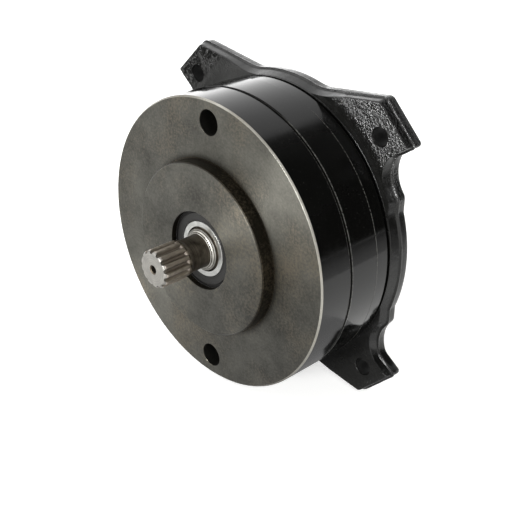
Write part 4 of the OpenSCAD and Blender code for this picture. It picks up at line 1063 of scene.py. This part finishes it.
class MESH_OT_lead_grommet(bpy.types.Operator):
    """Lead grommet: moulded rubber with a rounded flange and two lead holes"""

    bl_idname = "brake.lead_grommet"
    bl_label = "Lead grommet"

    def execute(self, context):
        profile = rounded([
            (0, 62.0, 0), (4.5, 62.0, 0.3), (4.5, 84.5, 0.15), (6.5, 84.5, 0.2), (6.5, 85.7, 0.4),
            (5.2, 86.7, 0.4), (0, 86.7, 0),
        ])
        verts, quads, fans = drill(0, [0], profile[profile[:, 0] > 0.01], 96)[0]
        verts = verts[:, [1, 0, 2]] * [-1, 1, 1] + [0, LEAD_Y, 0]
        made = add_object("lead_grommet_rubber", (verts, quads, fans), [nitrile_rubber("grommet rubber")])
        bore(made, [side_drill(1.5, -90, -60, 2), side_drill(1.5, -90, -60, -2)])
        place(made, "housing", ["lead_grommet"], "seal_rubber")
        return {"FINISHED"}


# Shaft

TEETH = 13
MODULE = 1.5875
PITCH_R = MODULE * TEETH / 2
TIP_R = PITCH_R + 0.366 * MODULE
ROOT_R = PITCH_R - 0.64 * MODULE


def tooth_angles():
    """Directions round the shaft: the same steps in each tooth, closer together on the flanks."""
    half = np.array([0, 1.6, 3.2, 4.3, 4.93, 5.5, 6.3, 7.3, 8.3, 9.1, 9.57, 10.2, 11.2, 12.6])
    one = np.concatenate([half, (360 / TEETH - half[1:])[::-1]])
    return np.radians((one + np.arange(TEETH)[:, None] * 360 / TEETH).ravel())


def tooth_radius(angles, soften):
    """Radius of the involute spline in each direction. Half the angle of a tooth at radius r is a
    quarter pitch plus the involute angle at the pitch circle less that at r. The radius is the mean
    over a small angle, which rounds the tips and the roots."""
    base = PITCH_R * math.cos(math.radians(30))
    radius = np.linspace(ROOT_R, TIP_R, 60)
    pressure = np.arccos(base / radius)
    at_pitch = math.tan(math.radians(30)) - math.radians(30)
    half = np.pi / 2 / TEETH + at_pitch - (np.tan(pressure) - pressure)
    spread = soften / PITCH_R * np.linspace(-1, 1, 9)
    turn = (angles[:, None] + spread + np.pi / TEETH) % (2 * np.pi / TEETH) - np.pi / TEETH
    return np.interp(np.abs(turn), half[::-1], radius[::-1]).mean(1)


class MESH_OT_shaft(bpy.types.Operator):
    """Shaft: involute spline with chamfered, rounded teeth, neck, turned shoulder, inner spline"""

    bl_idname = "brake.shaft"
    bl_label = "Shaft"

    def execute(self, context):
        end, rear = y_range("shaft")
        angles = tooth_angles()
        teeth = tooth_radius(angles, sizes().tooth_round / MM)
        root = ROOT_R
        tip = TIP_R
        neck = 9.6
        spline_end = end + 19.5
        runout = 3.6
        cone = -8.0
        # Lowest radius, highest radius, plane y and finish: 0 ground, 1 spline, 2 end face, 3 neck: dark
        # oxide with painted shade, also used as painted shade in the centre hole, the shoulder's grooves and
        # the gap at its foot
        layers = [(2.2, 2.2, end + 9, 3), (2.2, 2.2, end + 0.5, 3), (2.75, 2.75, end, 3),
                  (5.5, 5.5, end, 2), (8.4, 8.4, end, 2), (root - 0.35, 9.75, end, 2),
                  (root - 0.1, 9.98, end + 0.12, 2), (root, 10.35, end + 0.5, 2),
                  (root, 10.72, end + 0.95, 2), (root, tip, end + 1.4, 1)]
        layers += [(root, tip, y, 1) for y in np.linspace(end + 2.5, spline_end - runout, 12)]
        # Run-out: the gaps rise to meet the tips, which slope a little towards the neck
        for back in (3.3, 2.9, 2.5, 2.1, 1.7, 1.3, 0.9, 0.5):
            share = (runout - back) / (runout - 0.5)
            high = tip - 0.45 * share ** 1.5
            gap = root + (high - 0.05 - root) * eased(share)
            layers.append((gap, high, spline_end - back, 1 if back > 2 else 3))
        layers += [(tip - 0.62, tip - 0.62, spline_end, 3), (neck + 0.25, neck + 0.25, spline_end + 0.45, 3),
                   (neck + 0.03, neck + 0.03, spline_end + 0.95, 3)]
        layers += [(neck, neck, y, 3) for y in (-19.6, -17, -14, -11, -9, -8.3)]
        # Shoulder: a turned bead, a groove, a cone, a second groove and a second bead
        # The rows with finish 3 are the bottoms of the grooves, in painted shade
        layers += [(r, r, cone + rise, finish) for r, rise, finish in (
            (neck + 0.05, -0.05, 3), (neck + 0.25, -0.28, 0), (neck + 0.55, -0.3, 0), (neck + 0.8, -0.05, 0),
            (neck + 0.86, 0.62, 3), (neck + 1.0, 0.66, 3), (neck + 1.06, 0.5, 0), (neck + 1.3, 0.62, 0),
            (neck + 1.75, 1.1, 0), (neck + 1.8, 1.5, 3), (neck + 1.95, 1.55, 3), (neck + 2.0, 1.3, 0),
            (neck + 2.2, 1.28, 0), (neck + 2.45, 1.55, 0), (neck + 2.6, 1.95, 0))]
        # Painted shade: the gap at the shoulder's foot, by the bearing ring, takes the dark neck finish
        layers += [(12.2, 12.2, -5.45, 3), (12.2, 12.2, -5.0, 3), (12.5, 12.5, -4.7, 3)]
        plain = [(12.5, 9.4), (12.7, 9.7), (15.7, 9.7), (16, 10), (16, 11.2), (15, 11.2), (15, 12.7),
                 (16, 12.7), (16, 27.2), (18.2, 27.2), (18.5, 27.5), (18.5, 30.9), (18.2, 31.2),
                 (17.3, 31.2), (17, 31.5), (17, 43.7), (16.7, 44), (15.05, 44), (15, 44.1),
                 (15, rear - 0.6), (14.85, rear - 0.15), (14.5, rear), (13.2, rear), (12.0, rear - 0.1)]
        layers += [(r, r, y, 0) for r, y in plain]
        outer_rows = len(layers)
        # Inner spline, 0.12 mm larger in radius than the outer one, down to the bottom of its hole
        clear = 0.12
        bottom = 24.6
        layers += [(tip, tip + 0.3, rear - 0.85, 0), (root + clear, tip + clear, rear - 1.6, 1)]
        layers += [(root + clear, tip + clear, y, 1) for y in np.linspace(rear - 4, 26, 8)]
        layers += [(root + clear, tip + clear, bottom, 1), (8.5, 8.5, bottom, 3), (4, 4, bottom, 3)]
        lowest, highest, y, finish = np.array(layers).T
        outside = np.arange(len(layers)) < outer_rows
        bend = np.where(outside[:, None], teeth, teeth + clear)
        grid = polar(np.clip(bend, lowest[:, None], highest[:, None]), y[:, None], angles)
        poles = [[0, end + 10.2, 0], [0, bottom, 0]]
        look = colours()
        made = add_object("shaft_turning", solid(grid, poles), [
            ground_steel("ground shaft steel", "#82807a", "#b8b6af", 0.32, 0.3),
            spline_steel("hobbed spline steel", look.spline_dark, look.spline_light),
            ground_steel("faced shaft end", "#7c7a76", "#94928c", 0.45, 0.5),
            ground_steel("oiled neck steel with painted shade", "#3e3830", "#6b6459", 0.5, 0.6),
        ], np.repeat(finish[1:].astype(int), len(angles)), len(angles))
        keyway = np.array([[x, y, z] for x in (-4, 4) for y in (13.4, 23.9) for z in (12, 18)], float)
        sides = np.array([
            [0, 1, 3, 2], [4, 6, 7, 5], [0, 4, 5, 1], [2, 3, 7, 6], [0, 2, 6, 4], [1, 5, 7, 3]])
        bore(made, [(keyway, sides, np.zeros((0, 3), int))])
        place(made, "shaft", ["shaft"], "shaft_steel", sharp=34)
        return {"FINISHED"}


def helix(length):
    """Tube of wire along a helix that starts at y 0 and ends at length, on a grid of the way along the
    wire and the way round it. The two end turns close up and the turns between them rise evenly."""
    wire_r = 0.75
    mean_r = 3.25
    closed = 0.9
    active = 2.6
    turns = active + 2 * closed
    closed_rise = closed * (2 * wire_r + 0.15)
    lift = length - 2 * wire_r
    along = np.linspace(0, turns, 160)
    height = np.interp(along, [0, closed, turns - closed, turns], [0, closed_rise, lift - closed_rise, lift])
    round_wire = even_angles(16)
    out = mean_r + wire_r * np.cos(round_wire)
    up = wire_r + height[:, None] + wire_r * np.sin(round_wire)
    grid = polar(out, up, along[:, None] * 2 * np.pi)
    return solid(grid, [grid[0].mean(0), grid[-1].mean(0)])


class MESH_OT_springs(bpy.types.Operator):
    """Six compression springs of round wire. In the brake they shorten as the armature is drawn back; here
    they keep one length
    """

    bl_idname = "brake.springs"
    bl_label = "Springs"

    def execute(self, context):
        start, floor = y_range("springs")
        springs = joined(copies(helix(floor - start), SPRING_OUT - 0.02, SPRING_ANGLES, start))
        # Patented spring wire, drawn: grey with a dull shine
        made = add_object("springs_wire", springs, [
            ground_steel("drawn spring wire", "#77787a", "#a9aaab", 0.35)])
        place(made, "housing", ["springs"], "spring_steel", sharp=0)
        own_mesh(made)
        return {"FINISHED"}


class MATERIAL_OT_inner_parts(bpy.types.Operator):
    """Finishes of the pieces that keep their CAD mesh"""

    bl_idname = "brake.inner_parts"
    bl_label = "Inner parts"

    def execute(self, context):
        finishes = {
            # Spring steel strip, phosphated: dark blue-grey, satin
            ground_steel("phosphated spring steel", "#3c3d3e", "#6d6e6e", 0.42, 0.3):
                ["front_bearing_circlip", "rear_bearing_circlip", "hub_circlip"],
            # Alloy screw steel, black oxide with oil: near black, soft shine
            ground_steel("black oxide screw steel", "#1d1d1e", "#3d3d3d", 0.38, 0.5):
                ["housing_screws"],
            # Silver steel, ground: bright with fine lines round it
            ground_steel("ground pin steel", "#a3a3a1", "#dadad8", 0.25, 0.3, 0.005):
                ["dowel_pins", "torque_pins", "hub_key"],
            # Bearing steel, lapped: a clean mirror
            ground_steel("lapped ball steel", "#cfcfcf", "#efefef", 0.08, 2.0, 0.001):
                ["front_balls", "rear_balls"],
            # Bearing steel rings, ground
            ground_steel("ground outer ring steel", "#b5b5b2", "#e3e3e0", 0.22, 0.35, 0.004):
                ["front_bearing_outer", "rear_bearing_outer"],
            # Pressed brass sheet: warm yellow with light press marks
            ground_steel("pressed brass", "#9a7838", "#c9a35a", 0.34, 0.6):
                ["front_cage", "rear_cage"],
            # Carbon steel, milled: the hub and the disc's core
            ground_steel("milled carbon steel", "#77787a", "#a5a6a7", 0.38, 0.8):
                ["drive_hub", "disc_core"],
            # Soft magnet iron, ground flat and nitrided: pale grey with a warm cast
            turned_iron("nitrided magnet iron", "#7d7a73", "#a09c93", (0.34, 0.48)):
                ["armature_plate"],
            friction_lining("moulded friction lining"): ["front_lining", "rear_lining"],
            enamelled_copper("enamelled copper wire"): ["coil_winding"],
            glass_filled_nylon("glass-filled nylon"): ["coil_bobbin"],
            nitrile_rubber("nitrile ring rubber"): ["front_o_ring", "rear_o_ring"],
        }
        for material, nodes in finishes.items():
            for node in nodes:
                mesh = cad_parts[node].data
                mesh.materials.clear()
                mesh.materials.append(material)
        return {"FINISHED"}


# Stage

def panel(name, corners):
    """Flat piece of the stage between four corners in metres."""
    mesh = bpy.data.meshes.new(name)
    mesh.from_pydata(corners, [], [(0, 1, 2, 3)])
    made = linked(name, mesh)
    made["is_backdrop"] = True
    return made


def card(name, corners, falloff, lights=False):
    """Lit panel that is seen only in reflections, and lights the brake only with lights. falloff is
    (near x, far x, near strength, far strength, power): the strength goes from near to far with the
    share of the way to this power."""
    made = panel(name, corners)
    near, far, near_glow, far_glow, power = falloff
    material, tree, at, _ = begin(name)
    x = add(tree, "SeparateXYZ", {0: at})["X"]
    share = add(tree, "MapRange", {"Value": x, "From Min": near, "From Max": far})[0]
    curve = add(tree, "Math", {0: share, 1: power}, operation="POWER")[0]
    glow = add(tree, "Math", {0: curve, 1: far_glow - near_glow, 2: near_glow}, operation="MULTIPLY_ADD")[0]
    light = add(tree, "Emission", {"Color": (1, 1, 1, 1), "Strength": glow})[0]
    add(tree, "OutputMaterial", {"Surface": light})
    made.data.materials.append(material)
    made.visible_camera = False
    made.visible_shadow = False
    made.visible_diffuse = lights
    made.visible_transmission = lights


def level_card(name, start, end, low, high, falloff, z):
    """Card that lies flat at height z, from x start to end and y low to high."""
    card(name, [(start, low, z), (start, high, z), (end, high, z), (end, low, z)], falloff)


def lamp(name, at, width, power):
    """Soft square area lamp that looks at the brake, in metres and watts."""
    data = bpy.data.lights.new(name, "AREA")
    data.shape = "SQUARE"
    data.size = width
    data.energy = power
    turn = (-Vector(at)).to_track_quat("-Z", "Y").to_matrix().to_4x4()
    linked(name, data).matrix_world = Matrix.Translation(at) @ turn


def seen(tree):
    """One for rays from the camera, from gloss and through glass, and nought for the rest."""
    path = add(tree, "LightPath")
    first = add(tree, "Math", {0: path["Is Camera Ray"], 1: path["Is Glossy Ray"]}, operation="MAXIMUM")[0]
    return add(tree, "Math", {0: first, 1: path["Is Transmission Ray"]}, operation="MAXIMUM")[0]


class SCENE_OT_stage(bpy.types.Operator):
    """Pale floor, soft lamps, white surroundings and the camera"""

    bl_idname = "brake.stage"
    bl_label = "Stage"

    def execute(self, context):
        scene = bpy.context.scene
        scene.view_settings.view_transform = "Standard"
        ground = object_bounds()[0][2]
        self.floor(ground)
        card("overhead softbox", [
            (-0.03, 0.1, 0.80), (-0.03, 1.5, 0.80), (-1.7, 1.5, 0.02), (-1.7, 0.1, 0.02),
        ], (-0.03, -1.1, 0.95, 3.2, 2.0), lights=True)
        card("dark flag", [
            (0, -0.1, 0.85), (0, 1.4, 0.85), (0.78, 1.4, ground + 0.02), (0.78, -0.1, ground + 0.02),
        ], (0, 1, 0.02, 0.02, 1.0))
        level_card("graded apron", 0.80, 0.30, -0.1, 1.4, (0.80, 0.30, 0.02, 0.8, 1.0), ground + 0.004)
        level_card("contact shade", 0.15, -0.05, 0.0, 0.085, (0.15, 0.02, 1.3, 0.1, 0.7), ground + 0.003)
        level_card("front shade", -0.15, 0.1, -0.22, 0.0, (-0.15, 0.05, 1.3, 1.0, 1.0), ground + 0.003)
        lamp("front soft lamp", (0.1, -1.45, 0.3), 0.35, 31)
        lamp("left soft lamp", (-0.9, -1.0, 0.8), 0.9, 6)
        lamp("right soft lamp", (1.3, -0.35, 0.75), 0.6, 5)
        self.surroundings(scene)
        self.camera(scene)
        return {"FINISHED"}

    def floor(self, ground):
        """Level floor that keeps the brake's shadow and shows white to the camera and in gloss."""
        reach = 6.0
        made = panel("floor", [(-reach, -reach, ground), (reach, -reach, ground), (reach, reach, ground),
                               (-reach, reach, ground)])
        material, tree, at, _ = begin("pale floor")
        away = add(tree, "VectorMath", {0: at}, operation="LENGTH")["Value"]
        lift = add(tree, "MapRange", {"Value": away, "From Min": 0.9, "From Max": 2.2, "To Min": 0.5})[0]
        strength = add(tree, "Math", {0: seen(tree), 1: lift}, operation="MULTIPLY")[0]
        glow = add(tree, "Emission", {"Color": (1, 1, 1, 1), "Strength": strength})[0]
        matt = add(tree, "BsdfDiffuse", {"Color": colours().floor})[0]
        both = add(tree, "AddShader", {0: matt, 1: glow})[0]
        add(tree, "OutputMaterial", {"Surface": both})
        made.data.materials.append(material)

    def surroundings(self, scene):
        scene.world = bpy.data.worlds.new("white surroundings")
        tree = emptied(scene.world)
        strength = add(tree, "MapRange", {"Value": seen(tree), "To Min": 0.35})[0]
        back = add(tree, "Background", {"Color": (1, 1, 1, 1), "Strength": strength})[0]
        add(tree, "OutputWorld", {"Surface": back})

    def camera(self, scene):
        """Camera fitted to the photograph's ellipses, for a square frame of 520 pixels."""
        azimuth, elevation, roll = (math.radians(a) for a in (45.52, 28.43, 0.845))
        back = Vector((math.sin(azimuth) * math.cos(elevation), -math.cos(azimuth) * math.cos(elevation),
                       math.sin(elevation)))
        right = Vector((0, 0, 1)).cross(back).normalized()
        up = back.cross(right)
        x = math.cos(roll) * right + math.sin(roll) * up
        y = -math.sin(roll) * right + math.cos(roll) * up
        turn = Matrix((x, y, back)).transposed().to_4x4()
        data = bpy.data.cameras.new("camera")
        data.sensor_width = 36
        data.lens = 67.49
        data.clip_start = 0.01
        made = linked("camera", data)
        made.matrix_world = Matrix.Translation((0.36516, -0.31898, 0.25366)) @ turn
        scene.camera = made


class VIEW3D_PT_motor_brake(bpy.types.Panel):
    """Lists the pieces and the stage"""

    bl_label = "Motor brake"
    bl_space_type = "VIEW_3D"
    bl_region_type = "UI"
    bl_category = "Motor brake"

    def draw(self, context):
        layout = self.layout
        for group in (context.scene.brake_sizes, context.scene.brake_colours):
            for name in group.bl_rna.properties.keys():
                if name not in ("rna_type", "name"):
                    layout.prop(group, name)
        for piece in PIECES:
            layout.operator(piece.bl_idname)


PIECES = (
    MESH_OT_front_cap,
    MESH_OT_housing_ring,
    MESH_OT_rear_casting,
    MESH_OT_front_bearing,
    MESH_OT_rear_bearing,
    MESH_OT_lead_grommet,
    MESH_OT_shaft,
    MESH_OT_springs,
    MATERIAL_OT_inner_parts,
    SCENE_OT_stage,
)
CLASSES = (BrakeSizes, BrakeColours, *PIECES, VIEW3D_PT_motor_brake)


def register():
    for kind in CLASSES:
        bpy.utils.register_class(kind)
    bpy.types.Scene.brake_sizes = bpy.props.PointerProperty(type=BrakeSizes)
    bpy.types.Scene.brake_colours = bpy.props.PointerProperty(type=BrakeColours)


def unregister():
    del bpy.types.Scene.brake_colours
    del bpy.types.Scene.brake_sizes
    for kind in reversed(CLASSES):
        bpy.utils.unregister_class(kind)


def main():
    register()
    for piece in PIECES:
        group, name = piece.bl_idname.split(".")
        getattr(getattr(bpy.ops, group), name)()


if __name__ == "__main__":
    main()
